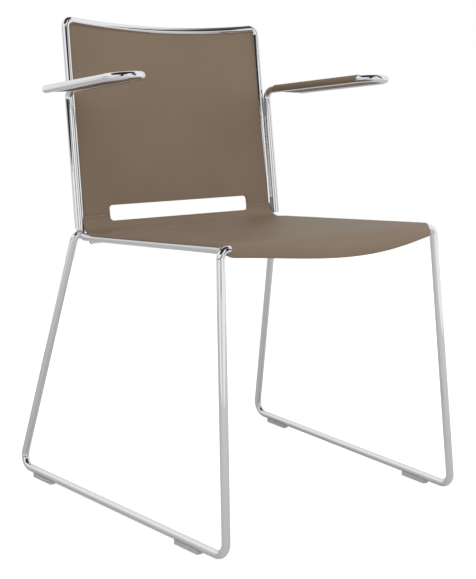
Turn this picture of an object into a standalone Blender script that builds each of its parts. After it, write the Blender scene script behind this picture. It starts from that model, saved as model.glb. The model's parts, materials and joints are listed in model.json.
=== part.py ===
"""Stacking armchair: chromed steel rod frame with a moulded plastic seat and back.

Units are metres, +Z is up. The front of the chair faces -Y, and left is -X, as seen
by someone who looks at the front of the chair. The origin is on the floor, under the
middle of the chair's box.
"""
import math

import bmesh
import bpy
from mathutils import Matrix, Vector

# Rod of the frame, and the clearance that touching pieces keep
rod_diameter = 0.013
joint_gap = 0.0003
seat_clearance = 0.0004
rod_radius = rod_diameter / 2

# Seat rails: bent rods that run back from the front cross rod and fall a little
seat_rod_height = 0.4510
rail_half_width_front = 0.2113
rail_taper = 0.0036
rail_fall = 0.0206
rail_front_y = -0.2399
rail_rear_y = 0.1627
back_corner_half_width = rail_half_width_front - rail_taper
back_corner_height = seat_rod_height - rail_fall

# Sled base: where the axes of the rods would meet, before the bends are rounded
front_leg_shoulder = 0.0095
front_leg_splay = 0.0206
rear_leg_shoulder = 0.0125
rear_leg_splay = 0.0527
rear_leg_top_lift = 0.0051
foot_half_length = 0.2785
floor_bend_radius = 0.021
frame_bend_radius = 0.013
front_leg_top_half_width = rail_half_width_front + front_leg_shoulder
rear_leg_top_half_width = back_corner_half_width + rear_leg_shoulder
rear_leg_top_height = back_corner_height + rear_leg_top_lift

# Back frame above the rails: uprights and the dipped top rod
back_rise = 0.3601
back_lean = 0.0435
back_taper = 0.0034
top_bend_radius = 0.012
top_rod_dip = 0.0110
top_rod_hollow = 0.0140
back_top_half_width = back_corner_half_width - back_taper
back_top_y = rail_rear_y + back_lean
back_top_height = back_corner_height + back_rise

# Cross rod under the rear of the seat
rear_cross_rod_setback = 0.032
rear_cross_rod_drop = 0.0038
rear_cross_rod_y = rail_rear_y - rear_cross_rod_setback

# Arm rods
arm_corner_drop = 0.1163
arm_bend_radius = 0.016
arm_rise_share = 0.0778
arm_outer_drop = 0.0023
arm_loop_radius = 0.0290
arm_loop_reach = 0.2111
arm_loop_spread = 0.0125
arm_free_end_setback = 0.013
arm_free_end_spread = 0.0015
arm_loop_centre_y = rail_rear_y - arm_loop_reach
arm_free_end_y = rail_rear_y - arm_free_end_setback

# Arm pads
pad_rear_setback = 0.003
pad_front_overrun = 0.0045
pad_height = 0.0156
pad_depth = 0.0045  # below the strands' axes, so that the rods show under the pad
pad_flank_wall = 0.0013
pad_outer_height = 0.0120
pad_crown = 0.0004
pad_end_share = 0.84
pad_rear_y = rail_rear_y - pad_rear_setback
pad_front_y = arm_loop_centre_y - pad_front_overrun

# Seat shell
seat_thickness = 0.0050
seat_rest_share = 0.55
seat_rear_inset = 0.0005
seat_neck_setback = 0.019
seat_neck_length = 0.023
seat_rim_roll = 0.0030
seat_rear_fold_radius = 0.024
seat_flat_overrun = 0.0095
seat_front_overhang = 0.0495
seat_front_bow = 0.045
seat_front_fall = 0.0186
seat_lip_radius = 0.009
seat_lip_depth = 0.019
seat_lip_under_share = 0.4
seat_roll_shares = (0.0, 0.2, 0.55, 1.0)
seat_corner_radius = 0.030
seat_half_width = rail_half_width_front + rod_radius
seat_rear_half_width = back_corner_half_width - seat_rear_inset
seat_neck_y = rail_rear_y - seat_neck_setback
seat_wide_y = seat_neck_y - seat_neck_length
seat_fall_start_y = rail_front_y + seat_flat_overrun
seat_front_y = rail_front_y - seat_front_overhang

# Back panel and the lumbar slot between it and the seat shell
panel_thickness = 0.0050
panel_offset_low = 0.0070
panel_offset_high = 0.0004
panel_edge_inset = 0.0040
panel_seam_rise = 0.0325
panel_seam_gap = 0.0006
slot_side_margin = 0.0562
slot_bottom_rise = 0.0224
slot_height = 0.0265
slot_corner_radius = 0.0060
panel_seam_height = back_corner_height + panel_seam_rise
slot_half_width = back_corner_half_width - slot_side_margin

# Steel tabs, screws and moulded bosses that hold the plastic
tab_width = 0.022
tab_length = 0.022
tab_thickness = 0.0025
tab_corner_radius = 0.004
seat_tab_spacing_share = 0.5634
front_tab_drop = 0.0022
back_tab_height_shares = (0.259, 0.804)
screw_shank_diameter = 0.0040
screw_hole_diameter = 0.0048
screw_head_diameter = 0.0080
screw_head_height = 0.0024
screw_head_chamfer_share = 0.85
screw_recess_diameter = 0.0040
screw_recess_depth = 0.0012
boss_diameter = 0.0110
back_boss_height = 0.0030
screw_bite_share = 0.7

# Glides under the runners
glide_length = 0.056
glide_width = 0.0120
glide_under_rod = 0.0055
glide_saddle_height = 0.0090
glide_edge_radius = 0.0012
glide_front_setback = 0.086
glide_rear_setback = 0.072
glide_peg_diameter = 0.0040
glide_peg_length = 0.0040
glide_hole_diameter = 0.0048
glide_hole_depth = 0.0050
runner_height = glide_under_rod + rod_radius

# How finely round shapes are divided
rod_bevel_resolution = 4
bend_steps = 6
loop_steps = 14
top_rod_steps = 10
dome_steps = 3
screw_sides = 12
arc_steps = 5
seat_bow_steps = 7
seat_side_steps = 28
panel_rows = 8
panel_columns = 12
crease_angle = math.radians(40)
cut_overrun = 0.002

chrome_colour = (0.80, 0.80, 0.81, 1.0)
plastic_colour = (0.235, 0.177, 0.138, 1.0)
glide_colour = (0.62, 0.62, 0.61, 1.0)
zinc_colour = (0.55, 0.56, 0.58, 1.0)


def clear_scene():
    for old_object in list(bpy.data.objects):
        bpy.data.objects.remove(old_object)


def make_material(name, colour, roughness, metallic):
    material = bpy.data.materials.new(name)
    material.use_nodes = True
    shader = material.node_tree.nodes["Principled BSDF"]
    shader.inputs["Base Color"].default_value = colour
    shader.inputs["Roughness"].default_value = roughness
    shader.inputs["Metallic"].default_value = metallic
    return material


def finish_object(thing, material):
    """Give a mesh object its material and smooth shading with sharp edges kept."""
    thing.data.materials.clear()
    thing.data.materials.append(material)
    thing.data.shade_smooth()
    thing.data.set_sharp_from_angle(angle=crease_angle)
    return thing


def mesh_object(name, verts, faces, material):
    mesh = bpy.data.meshes.new(name)
    mesh.from_pydata([tuple(v) for v in verts], [], faces)
    shape = bmesh.new()
    shape.from_mesh(mesh)
    bmesh.ops.recalc_face_normals(shape, faces=shape.faces)
    shape.to_mesh(mesh)
    shape.free()
    thing = bpy.data.objects.new(name, mesh)
    bpy.context.collection.objects.link(thing)
    return finish_object(thing, material)


def mark_cutter(thing):
    thing.hide_render = True
    thing.display_type = "WIRE"
    return thing


def cut_with(thing, cutter):
    change = thing.modifiers.new("Cut " + cutter.name, "BOOLEAN")
    change.operation = "DIFFERENCE"
    change.solver = "EXACT"
    change.object = mark_cutter(cutter)


def join_with(thing, addition):
    change = thing.modifiers.new("Join " + addition.name, "BOOLEAN")
    change.operation = "UNION"
    change.solver = "EXACT"
    change.object = mark_cutter(addition)


def between(start, end, share):
    return start + (end - start) * share


def line_at_y(start, end, y):
    """The point of the line through start and end that has this y."""
    return between(start, end, (y - start.y) / (end.y - start.y))


def rounded_path(corners):
    """Points of a bent rod: straight runs between corners, with an arc at each corner.

    Each corner is a point and its bend radius; a radius of zero leaves the point as it is.
    """
    points = []
    for index, (corner, radius) in enumerate(corners):
        if radius == 0 or index == 0 or index == len(corners) - 1:
            points.append(corner.copy())
            continue
        to_previous = (corners[index - 1][0] - corner).normalized()
        to_next = (corners[index + 1][0] - corner).normalized()
        half_angle = to_previous.angle(to_next) / 2
        middle = (to_previous + to_next).normalized()
        centre = corner + middle * (radius / math.sin(half_angle))
        first = corner + to_previous * (radius / math.tan(half_angle)) - centre
        last = corner + to_next * (radius / math.tan(half_angle)) - centre
        turn = first.angle(last)
        for step in range(bend_steps + 1):
            share = step / bend_steps
            arm = first * math.sin((1 - share) * turn) + last * math.sin(share * turn)
            points.append(centre + arm / math.sin(turn))
    return points


def rod_object(name, points, material, radius=rod_radius, radii=None):
    """A round rod along the points, with filled ends."""
    curve = bpy.data.curves.new(name, "CURVE")
    curve.dimensions = "3D"
    curve.bevel_depth = radius
    curve.bevel_resolution = rod_bevel_resolution
    curve.use_fill_caps = True
    spline = curve.splines.new("POLY")
    spline.points.add(len(points) - 1)
    for index, point in enumerate(points):
        spline.points[index].co = (point.x, point.y, point.z, 1)
        if radii is not None:
            spline.points[index].radius = radii[index]
    guide = bpy.data.objects.new(name + "_path", curve)
    bpy.context.collection.objects.link(guide)
    bpy.context.view_layer.update()
    depsgraph = bpy.context.evaluated_depsgraph_get()
    mesh = bpy.data.meshes.new_from_object(guide.evaluated_get(depsgraph))
    bpy.data.objects.remove(guide)
    mesh.name = name
    shape = bmesh.new()
    shape.from_mesh(mesh)
    bmesh.ops.remove_doubles(shape, verts=shape.verts, dist=joint_gap / 10)
    bmesh.ops.recalc_face_normals(shape, faces=shape.faces)
    shape.to_mesh(mesh)
    shape.free()
    thing = bpy.data.objects.new(name, mesh)
    bpy.context.collection.objects.link(thing)
    return finish_object(thing, material)


def block_object(name, size, material, edge_radius=0, axes=None, place=None):
    """A box with rounded upright edges, centred on place and turned to the three axes."""
    half = Vector(size) / 2
    corners = []
    if edge_radius == 0:
        corners = [(half.x, half.y), (-half.x, half.y), (-half.x, -half.y), (half.x, -half.y)]
    else:
        for turn, (sx, sy) in enumerate(((1, 1), (-1, 1), (-1, -1), (1, -1))):
            for step in range(arc_steps + 1):
                angle = math.pi / 2 * (turn + step / arc_steps)
                corners.append((sx * (half.x - edge_radius) + edge_radius * math.cos(angle),
                                sy * (half.y - edge_radius) + edge_radius * math.sin(angle)))
    count = len(corners)
    verts = [Vector((x, y, level)) for level in (-half.z, half.z) for x, y in corners]
    faces = [tuple(reversed(range(count))), tuple(range(count, 2 * count))]
    faces += [(i, (i + 1) % count, count + (i + 1) % count, count + i) for i in range(count)]
    if axes is not None:
        verts = [axes[0] * v.x + axes[1] * v.y + axes[2] * v.z for v in verts]
    if place is not None:
        verts = [v + place for v in verts]
    return mesh_object(name, verts, faces, material)


def turned_object(name, profile, place, axis, material, sides=screw_sides):
    """A round piece: profile holds (distance along the axis, radius), from end to end."""
    axis = axis.normalized()
    across = axis.orthogonal().normalized()
    other = axis.cross(across)
    verts = []
    faces = []
    for along, radius in profile:
        for side in range(sides):
            angle = 2 * math.pi * side / sides
            offset = across * math.cos(angle) + other * math.sin(angle)
            verts.append(place + axis * along + offset * radius)
    for ring in range(len(profile) - 1):
        for side in range(sides):
            a = ring * sides + side
            b = ring * sides + (side + 1) % sides
            faces.append((a, b, b + sides, a + sides))
    faces.append(tuple(reversed(range(sides))))
    faces.append(tuple(range((len(profile) - 1) * sides, len(profile) * sides)))
    return mesh_object(name, verts, faces, material)


def mirrored(point, side):
    return Vector((side * point.x, point.y, point.z))


def rail_point(y):
    """The right seat rail's axis at this y."""
    front = Vector((rail_half_width_front, rail_front_y, seat_rod_height))
    rear = Vector((back_corner_half_width, rail_rear_y, back_corner_height))
    return line_at_y(front, rear, y)


def back_point(height, half_width=None, offset=0):
    """A point on the back's plane at a height, moved forward by offset along its normal."""
    bottom = Vector((back_corner_half_width, rail_rear_y, back_corner_height))
    top = Vector((back_top_half_width, back_top_y, back_top_height))
    point = between(bottom, top, (height - bottom.z) / (top.z - bottom.z))
    if half_width is not None:
        point.x = half_width
    return point + back_normal() * offset


def back_up():
    return Vector((0, back_top_y - rail_rear_y, back_top_height - back_corner_height)).normalized()


def back_normal():
    """Unit vector out of the front of the back."""
    return back_up().cross(Vector((-1, 0, 0))).normalized()


def panel_offset(height):
    """How far the panel's front lies before the rods' axes: less towards the top."""
    share = (height - back_corner_height) / back_rise
    return between(panel_offset_low, panel_offset_high, share)


def top_rod_point(share):
    """The axis of the dipped top rod, from the left corner (0) to the right corner (1)."""
    bow = 4 * share * (1 - share)
    left = Vector((-back_top_half_width, back_top_y, back_top_height))
    right = Vector((back_top_half_width, back_top_y, back_top_height))
    return between(left, right, share) + Vector((0, top_rod_hollow, -top_rod_dip)) * bow


def runner_point(y):
    front = Vector((front_leg_top_half_width + front_leg_splay, -foot_half_length, runner_height))
    rear = Vector((rear_leg_top_half_width + rear_leg_splay, foot_half_length, runner_height))
    return line_at_y(front, rear, y)


def side_frame_rod(side, name, material, radius=rod_radius):
    """Half of the front cross rod, front leg, runner and rear leg, bent from one rod."""
    rear_leg_top_y = rail_rear_y + joint_gap
    cross_end = Vector((joint_gap / 2, rail_front_y, seat_rod_height))
    front_top = Vector((front_leg_top_half_width, rail_front_y, seat_rod_height))
    front_foot = runner_point(-foot_half_length)
    rear_foot = runner_point(foot_half_length)
    rear_top = Vector((rear_leg_top_half_width, rear_leg_top_y, rear_leg_top_height))
    rear_inner = rear_top - Vector((2 * frame_bend_radius, 0, 0))
    corners = [(cross_end, 0), (front_top, frame_bend_radius), (front_foot, floor_bend_radius),
               (rear_foot, floor_bend_radius), (rear_top, frame_bend_radius), (rear_inner, 0)]
    path = [mirrored(point, side) for point in rounded_path(corners)]
    return rod_object(name, path, material, radius)


def back_frame_rod(name, material, radius=rod_radius):
    """Rails, uprights and top rod, bent from one rod."""
    rail_end_y = rail_front_y + rod_diameter + 2 * joint_gap
    rail_end = rail_point(rail_end_y)
    bottom = Vector((back_corner_half_width, rail_rear_y, back_corner_height))
    top_rod = [top_rod_point(step / top_rod_steps) for step in range(top_rod_steps + 1)]
    corners = [(mirrored(rail_end, -1), 0), (mirrored(bottom, -1), frame_bend_radius)]
    corners.append((top_rod[0], top_bend_radius))
    corners += [(point, 0) for point in top_rod[1:-1]]
    corners.append((top_rod[-1], top_bend_radius))
    corners += [(bottom, frame_bend_radius), (rail_end, 0)]
    return rod_object(name, rounded_path(corners), material, radius)


def post_offset():
    """How far the arm post stands out and forward of the upright that it is welded to."""
    reach = (rod_diameter + joint_gap) / math.sqrt(2)
    return Vector((reach, 0, 0)) + back_normal() * reach


def arm_path():
    """Axis of the right arm rod: post, inner strand, loop, outer strand with a free end."""
    corner_height = back_top_height - arm_corner_drop
    post_top = back_point(corner_height) + post_offset()
    post_foot_height = back_corner_height + frame_bend_radius + joint_gap
    post_foot = back_point(post_foot_height) + post_offset()
    corner_y = post_top.y
    loop_half_width = post_top.x + arm_loop_spread + arm_loop_radius

    def height_at(y):
        return post_top.z + arm_rise_share * (corner_y - y)

    loop_start = Vector((loop_half_width - arm_loop_radius, arm_loop_centre_y,
                         height_at(arm_loop_centre_y)))
    corners = [(post_foot, 0), (post_top, arm_bend_radius), (loop_start, 0)]
    points = rounded_path(corners)
    for step in range(1, loop_steps + 1):
        angle = math.pi * step / loop_steps
        y = arm_loop_centre_y - arm_loop_radius * math.sin(angle)
        x = loop_half_width - arm_loop_radius * math.cos(angle)
        drop = arm_outer_drop * (1 - math.cos(angle)) / 2
        points.append(Vector((x, y, height_at(y) - drop)))
    free_x = post_top.x + 2 * arm_loop_radius + arm_free_end_spread
    free_end = Vector((free_x, arm_free_end_y, height_at(arm_free_end_y) - arm_outer_drop))
    along = (free_end - points[-1]).normalized()
    radii = [1.0] * len(points)
    for step in range(dome_steps + 1):
        angle = math.pi / 2 * step / (dome_steps + 1)
        points.append(free_end + along * rod_radius * math.sin(angle))
        radii.append(math.cos(angle))
    return points, radii


def build_rear_cross_rod(chrome):
    """A straight rod between the rails, under the rear of the seat."""
    inner = rail_point(rear_cross_rod_y)
    end = inner - Vector((rod_radius + joint_gap, 0, rear_cross_rod_drop))
    return rod_object("rear_cross_rod", [mirrored(end, -1), end], chrome)


def trim_rear_leg_top(frame, side, chrome):
    """Cut the rear leg's bent top flush with the outside of the upright."""
    limit = back_corner_half_width + rod_radius + joint_gap
    size = (2 * rod_diameter, 4 * rod_diameter, 4 * rod_diameter)
    place = Vector((side * (limit - rod_diameter), rail_rear_y, rear_leg_top_height))
    cutter = block_object(frame.name + "_trim", size, chrome, place=place)
    cut_with(frame, cutter)


def pad_section(span, shrink):
    """Outline of an arm pad across its length: x runs out from the inner strand's axis."""
    inner_half = pad_height / 2
    outer_half = pad_outer_height / 2
    nose = rod_radius + pad_flank_wall
    points = []
    nose_steps = 2 * arc_steps
    for step in range(nose_steps + 1):
        angle = math.pi / 2 + math.pi * step / nose_steps
        points.append((nose * math.cos(angle), inner_half * math.sin(angle)))
    outer_end = span - rod_radius / 2
    points.append((outer_end, -outer_half))
    points.append((outer_end, outer_half))
    points.append((outer_end / 2, (inner_half + outer_half) / 2 + pad_crown))
    return [(x * shrink, max(z, -pad_depth) * shrink) for x, z in points]


def build_arm_pad(side, name, path, plastic):
    """A pad hooked over the inner strand, which fills the loop out to the outer strand."""
    inner_rear = path[bend_steps + 1]
    inner_front = path[bend_steps + 2]
    outer_front = path[bend_steps + 2 + loop_steps]
    outer_rear = path[bend_steps + 3 + loop_steps]
    stations = ((pad_rear_y, pad_end_share), (pad_rear_y - pad_flank_wall, 1),
                (pad_front_y + pad_flank_wall, 1), (pad_front_y, pad_end_share))
    verts = []
    for y, shrink in stations:
        inner = line_at_y(inner_rear, inner_front, y)
        outer = line_at_y(outer_rear, outer_front, y)
        span = outer.x - inner.x
        for x, z in pad_section(span, shrink):
            height = between(inner.z, outer.z, max(0, x / span)) + z
            verts.append(Vector((side * (inner.x + x), y, height)))
    count = len(verts) // len(stations)
    faces = [tuple(range(count)), tuple(reversed(range(len(verts) - count, len(verts))))]
    for ring in range(len(stations) - 1):
        for index in range(count):
            a = ring * count + index
            b = ring * count + (index + 1) % count
            faces.append((a, b, b + count, a + count))
    return mesh_object(name, verts, faces, plastic)


def seat_line_height(y):
    """Height of the seat's top surface over the rails, before its front falls away."""
    return rail_point(y).z + rod_radius * seat_rest_share + seat_thickness


def seat_height(y):
    fall = max(0, (seat_fall_start_y - y) / (seat_fall_start_y - seat_front_y))
    return seat_line_height(y) - seat_front_fall * fall ** 2


def smooth_step(share):
    share = min(1, max(0, share))
    return share * share * (3 - 2 * share)


def seat_width_at(y):
    """Half width of the seat: narrow between the uprights, wide over the rails."""
    share = (seat_neck_y - y) / seat_neck_length
    return between(seat_rear_half_width, seat_half_width, smooth_step(share))


def upstand_profile():
    """Side profile of the seat's rear: down the front of the back, then round to the seat."""
    top_height = panel_seam_height - panel_seam_gap / 2
    top = back_point(top_height, 0, panel_offset(top_height))
    foot = back_point(back_corner_height, 0, panel_offset_low)
    slope = seat_line_height(0) - seat_line_height(1)
    share = (top.z - seat_line_height(top.y)) / (top.z - foot.z + (top.y - foot.y) * slope)
    corner = between(top, foot, share)
    flat = Vector((0, seat_wide_y - seat_rear_fold_radius, 0))
    flat.z = seat_line_height(flat.y)
    return rounded_path([(top, 0), (corner, seat_rear_fold_radius), (flat, 0)])[:-1]


def seat_outline(rear_y):
    """Left side, front and right side of the seat in plan, as three lists of points."""
    corner_y = seat_front_y + seat_front_bow
    corners = [(Vector((-seat_half_width, rear_y, 0)), 0)]
    corners.append((Vector((-seat_half_width, corner_y, 0)), seat_corner_radius))
    for step in range(1 - seat_bow_steps, seat_bow_steps):
        share = step / seat_bow_steps
        y = seat_front_y + seat_front_bow * share ** 2
        corners.append((Vector((seat_half_width * share, y, 0)), 0))
    corners.append((Vector((seat_half_width, corner_y, 0)), seat_corner_radius))
    corners.append((Vector((seat_half_width, rear_y, 0)), 0))
    front = rounded_path(corners)[1:-1]
    left = []
    for step in range(seat_side_steps):
        y = between(rear_y, front[0].y, step / seat_side_steps)
        left.append(Vector((-seat_width_at(y), y, 0)))
    right = [mirrored(point, -1) for point in left]
    return left, front, right


def outward(points, index):
    """Unit normal of a plan outline that runs anticlockwise when seen from above."""
    before = points[max(0, index - 1)]
    after = points[min(len(points) - 1, index + 1)]
    along = (after - before).normalized()
    return Vector((along.y, -along.x, 0))


def build_seat_shell(plastic):
    """Seat with a rolled rim, a waterfall front lip and an upstand behind.

    Every vertex of the top has its partner underneath. The border ring of the top is
    rolled down, and a ring under it closes the rim's underside.
    """
    profile = upstand_profile()
    rear_y = profile[-1].y
    left, front, right = seat_outline(rear_y)
    border = left + front + list(reversed(right))
    rings = []
    under_rings = []
    for index, point in enumerate(border):
        out = outward(border, index)
        if index < len(left) or index >= len(left) + len(front):
            out = Vector((math.copysign(1, point.x), 0, 0))
        frontness = max(0, -out.y)
        inset = between(seat_rim_roll, seat_lip_radius, frontness)
        depth = between(seat_rim_roll, seat_lip_depth, frontness)
        rearness = smooth_step((point.y - seat_wide_y) / (rear_y - seat_wide_y))
        inner = point - out * inset
        inner.z = seat_height(inner.y)
        ring = []
        for share in seat_roll_shares:
            drop = depth * (1 - math.sqrt(1 - (1 - share) ** 2)) * (1 - rearness)
            ring.append(Vector((point.x - out.x * inset * share,
                                point.y - out.y * inset * share, inner.z - drop)))
        rings.append(ring)
        bottom = min(ring[0].z, inner.z - seat_thickness)
        lip = point - out * between(seat_rim_roll, seat_thickness, seat_lip_under_share)
        under = [Vector((lip.x, lip.y, bottom))]
        wall = point - out * max(inset, seat_thickness)
        under.append(Vector((wall.x, wall.y, seat_height(wall.y) - seat_thickness)))
        under_rings.append(under)
    side_count = len(left)
    columns = len(front)
    verts = []
    faces = []

    def add_patch(left_side, front_side, right_side):
        """A grid of points blended between a left, a front and a right edge."""
        rear_left = left_side[0]
        rear_right = right_side[0]
        grid = []
        for row in range(side_count + 1):
            share = row / side_count
            row_left = left_side[row] if row < side_count else front_side[0]
            row_right = right_side[row] if row < side_count else front_side[-1]
            line = []
            for column in range(columns):
                across = (front_side[column].x - front_side[0].x)
                across /= front_side[-1].x - front_side[0].x
                rear = between(rear_left, rear_right, across)
                blend = between(rear, front_side[column], share)
                blend += between(row_left, row_right, across)
                corner_blend = between(between(rear_left, rear_right, across),
                                       between(front_side[0], front_side[-1], across), share)
                line.append(blend - corner_blend)
            grid.append(line)
        return grid

    tops = [ring[-1] for ring in rings]
    top_grid = add_patch(tops[:side_count], tops[side_count:side_count + columns],
                         list(reversed(tops[side_count + columns:])))
    bottoms = [under[-1] for under in under_rings]
    bottom_grid = add_patch(bottoms[:side_count], bottoms[side_count:side_count + columns],
                            list(reversed(bottoms[side_count + columns:])))
    for line in top_grid:
        for point in line:
            point.z = seat_height(point.y)
    for line in bottom_grid:
        for point in line:
            point.z = seat_height(point.y) - seat_thickness

    def add(point):
        verts.append(point.copy())
        return len(verts) - 1

    def stitch(first, second):
        for index in range(len(first) - 1):
            faces.append((first[index], first[index + 1], second[index + 1], second[index]))

    top_index = [[add(point) for point in line] for line in top_grid]
    bottom_index = [[add(point) for point in line] for line in bottom_grid]
    for grid in (top_index, bottom_index):
        for row in range(len(grid) - 1):
            stitch(grid[row], grid[row + 1])
    edge_top = [top_index[row][0] for row in range(side_count)] + top_index[side_count]
    edge_top += [top_index[row][-1] for row in reversed(range(side_count))]
    edge_bottom = [bottom_index[row][0] for row in range(side_count)] + bottom_index[side_count]
    edge_bottom += [bottom_index[row][-1] for row in reversed(range(side_count))]
    loops = [edge_top]
    for level in reversed(range(len(seat_roll_shares) - 1)):
        loops.append([add(ring[level]) for ring in rings])
    loops.append([add(under[0]) for under in under_rings])
    loops.append(edge_bottom)
    for first, second in zip(loops, loops[1:]):
        stitch(first, second)

    start = [loop[0] for loop in loops]
    end = [loop[-1] for loop in loops]
    roll_count = len(seat_roll_shares)
    rear_top = list(reversed(start[:roll_count])) + top_index[0][1:-1] + end[:roll_count]
    rear_bottom = [start[roll_count]] + bottom_index[0] + [end[roll_count]]
    rear_loop = rear_top + list(reversed(rear_bottom))
    previous = rear_loop
    flat_points = [verts[index] for index in rear_loop]
    base_half = max(point.x for point in flat_points)
    for step in reversed(range(len(profile) - 1)):
        centre = profile[step]
        tangent = (profile[max(0, step - 1)] - profile[step + 1]).normalized()
        normal = Vector((0, -tangent.z, tangent.y))
        if normal.z < 0 and normal.y > 0:
            normal = -normal
        ring = []
        half = max(seat_width_at(centre.y), seat_rear_half_width)
        for point in flat_points:
            depth = seat_height(point.y) - point.z
            offset = centre + (-normal) * depth
            ring.append(add(Vector((point.x * half / base_half, offset.y, offset.z))))
        stitch(previous + [previous[0]], ring + [ring[0]])
        previous = ring
    faces.append(tuple(previous))
    return mesh_object("seat_shell", verts, faces, plastic)


def build_back_panel(plastic):
    """The back's infill: edges tucked against the rods, hollowed with the top rod."""
    rows = panel_rows
    columns = panel_columns
    start_height = panel_seam_height + panel_seam_gap / 2
    verts = []
    for depth in (0, panel_thickness):
        for row in range(rows + 1):
            for column in range(columns + 1):
                share = column / columns
                top = top_rod_point(share) - back_up() * panel_edge_inset
                height = between(start_height, top.z, row / rows)
                middle = back_point(height)
                half_width = middle.x - panel_edge_inset
                rise = (height - start_height) / (back_top_height - start_height)
                hollow = top_rod_hollow * 4 * share * (1 - share) * rise
                point = back_point(height, 0, panel_offset(height) - depth - hollow)
                point.x = between(-half_width, half_width, share)
                verts.append(point)
    stride = columns + 1
    layer = stride * (rows + 1)
    faces = []
    for base in (0, layer):
        for row in range(rows):
            for column in range(columns):
                a = base + row * stride + column
                faces.append((a, a + 1, a + 1 + stride, a + stride))
    border = list(range(stride))
    border += [row * stride + columns for row in range(1, rows + 1)]
    border += [rows * stride + column for column in reversed(range(columns))]
    border += [row * stride for row in reversed(range(1, rows))]
    for index, a in enumerate(border):
        b = border[(index + 1) % len(border)]
        faces.append((a, b, b + layer, a + layer))
    return mesh_object("back_panel", verts, faces, plastic)


def slot_cutter(name, plastic):
    middle = back_corner_height + slot_bottom_rise + slot_height / 2
    height = slot_height / back_up().z
    depth = 4 * panel_thickness
    axes = (Vector((1, 0, 0)), back_up(), back_normal())
    size = (2 * slot_half_width, height, depth)
    return block_object(name, size, plastic, slot_corner_radius, axes, back_point(middle, 0))


def screw_profile(length):
    """From the head's face to the tip: a round recess, the head, then the shank."""
    recess = screw_recess_diameter / 2
    head = screw_head_diameter / 2
    shank = screw_shank_diameter / 2
    return [(screw_recess_depth, recess), (0, recess), (0, head * screw_head_chamfer_share),
            (screw_head_height / 3, head), (screw_head_height, head),
            (screw_head_height, shank), (length - shank / 2, shank), (length, shank / 2)]


def add_fixing(label, tab_centre, axes, direction, shell, shell_face, materials):
    """A tab with its hole, a screw through it, and a boss on the shell that the screw bites.

    direction points from the screw's head to the shell. shell_face is how far from the
    tab's middle the shell's near face lies.
    """
    plastic, zinc = materials
    tab = block_object(label.replace("fixing", "tab"), (tab_width, tab_length, tab_thickness),
                       zinc, tab_corner_radius, axes, tab_centre)
    hole_radius = screw_hole_diameter / 2
    through = [(-tab_thickness, hole_radius), (tab_thickness, hole_radius)]
    cut_with(tab, turned_object(label + "_tab_hole", through, tab_centre, direction, zinc))
    boss_start = tab_thickness / 2 + joint_gap
    bite = shell_face + panel_thickness * screw_bite_share
    boss = [(boss_start, boss_diameter / 2), (shell_face + panel_thickness / 2, boss_diameter / 2)]
    join_with(shell, turned_object(label + "_boss", boss, tab_centre, direction, plastic))
    bore = [(boss_start - cut_overrun, hole_radius), (bite, hole_radius)]
    cut_with(shell, turned_object(label + "_bore", bore, tab_centre, direction, plastic))
    head_face = -(tab_thickness / 2 + joint_gap + screw_head_height)
    length = bite - joint_gap - head_face
    place = tab_centre + direction.normalized() * head_face
    turned_object(label.replace("fixing", "screw"), screw_profile(length), place, direction, zinc)


def build_seat_fixings(shell, materials):
    up = Vector((0, 0, 1))
    axes = (Vector((1, 0, 0)), Vector((0, 1, 0)), up)
    reach = rod_radius + joint_gap + tab_length / 2
    places = (("front", rail_front_y + reach, seat_rod_height - front_tab_drop),
              ("rear", rear_cross_rod_y - reach,
               rail_point(rear_cross_rod_y).z - rear_cross_rod_drop))
    for end, y, height in places:
        for side, word in ((-1, "left"), (1, "right")):
            x = side * back_corner_half_width * seat_tab_spacing_share
            centre = Vector((x, y, height))
            face = seat_height(y) - seat_thickness - height
            label = "seat_fixing_" + end + "_" + word
            add_fixing(label, centre, axes, up, shell, face, materials)


def build_back_fixings(shell, materials):
    direction = back_normal()
    for share, level in zip(back_tab_height_shares, ("lower", "upper")):
        height = back_corner_height + back_rise * share
        for side, word in ((-1, "left"), (1, "right")):
            face_offset = panel_offset(height) - panel_thickness
            tab_offset = face_offset - back_boss_height - joint_gap - tab_thickness / 2
            rod_axis = back_point(height)
            front_edge = tab_offset + tab_thickness / 2
            clear_radius = rod_radius + joint_gap
            rod_reach = math.sqrt(max(0, clear_radius ** 2 - front_edge ** 2))
            x = rod_axis.x - rod_reach - joint_gap - tab_width / 2
            centre = back_point(height, side * x, tab_offset)
            axes = (Vector((1, 0, 0)), back_up(), direction)
            label = "back_fixing_" + level + "_" + word
            face = face_offset - tab_offset
            add_fixing(label, centre, axes, direction, shell, face, materials)


def build_glide(side, word, end, y, frame, glide_plastic):
    """A saddle under the runner, with a peg that stands in a hole in the rod."""
    name = "glide_" + end + "_" + word
    along = (runner_point(foot_half_length) - runner_point(-foot_half_length)).normalized()
    along = mirrored(along, side)
    across = Vector((along.y, -along.x, 0))
    up = Vector((0, 0, 1))
    axis_point = mirrored(runner_point(y), side)
    centre = Vector((axis_point.x, axis_point.y, glide_saddle_height / 2))
    size = (glide_width, glide_length, glide_saddle_height)
    glide = block_object(name, size, glide_plastic, glide_edge_radius, (across, along, up), centre)
    reach = along * (glide_length / 2 + cut_overrun)
    groove = rod_object(name + "_groove", [axis_point - reach, axis_point + reach],
                        glide_plastic, rod_radius + seat_clearance)
    cut_with(glide, groove)
    peg_base = Vector((axis_point.x, axis_point.y, glide_under_rod / 2))
    peg_top = glide_under_rod / 2 + glide_peg_length
    peg = [(0, glide_peg_diameter / 2), (peg_top, glide_peg_diameter / 2)]
    join_with(glide, turned_object(name + "_peg", peg, peg_base, up, glide_plastic))
    hole_base = Vector((axis_point.x, axis_point.y, glide_under_rod - cut_overrun))
    hole = [(0, glide_hole_diameter / 2), (cut_overrun + glide_hole_depth, glide_hole_diameter / 2)]
    cut_with(frame, turned_object(name + "_hole", hole, hole_base, up, glide_plastic))


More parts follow.
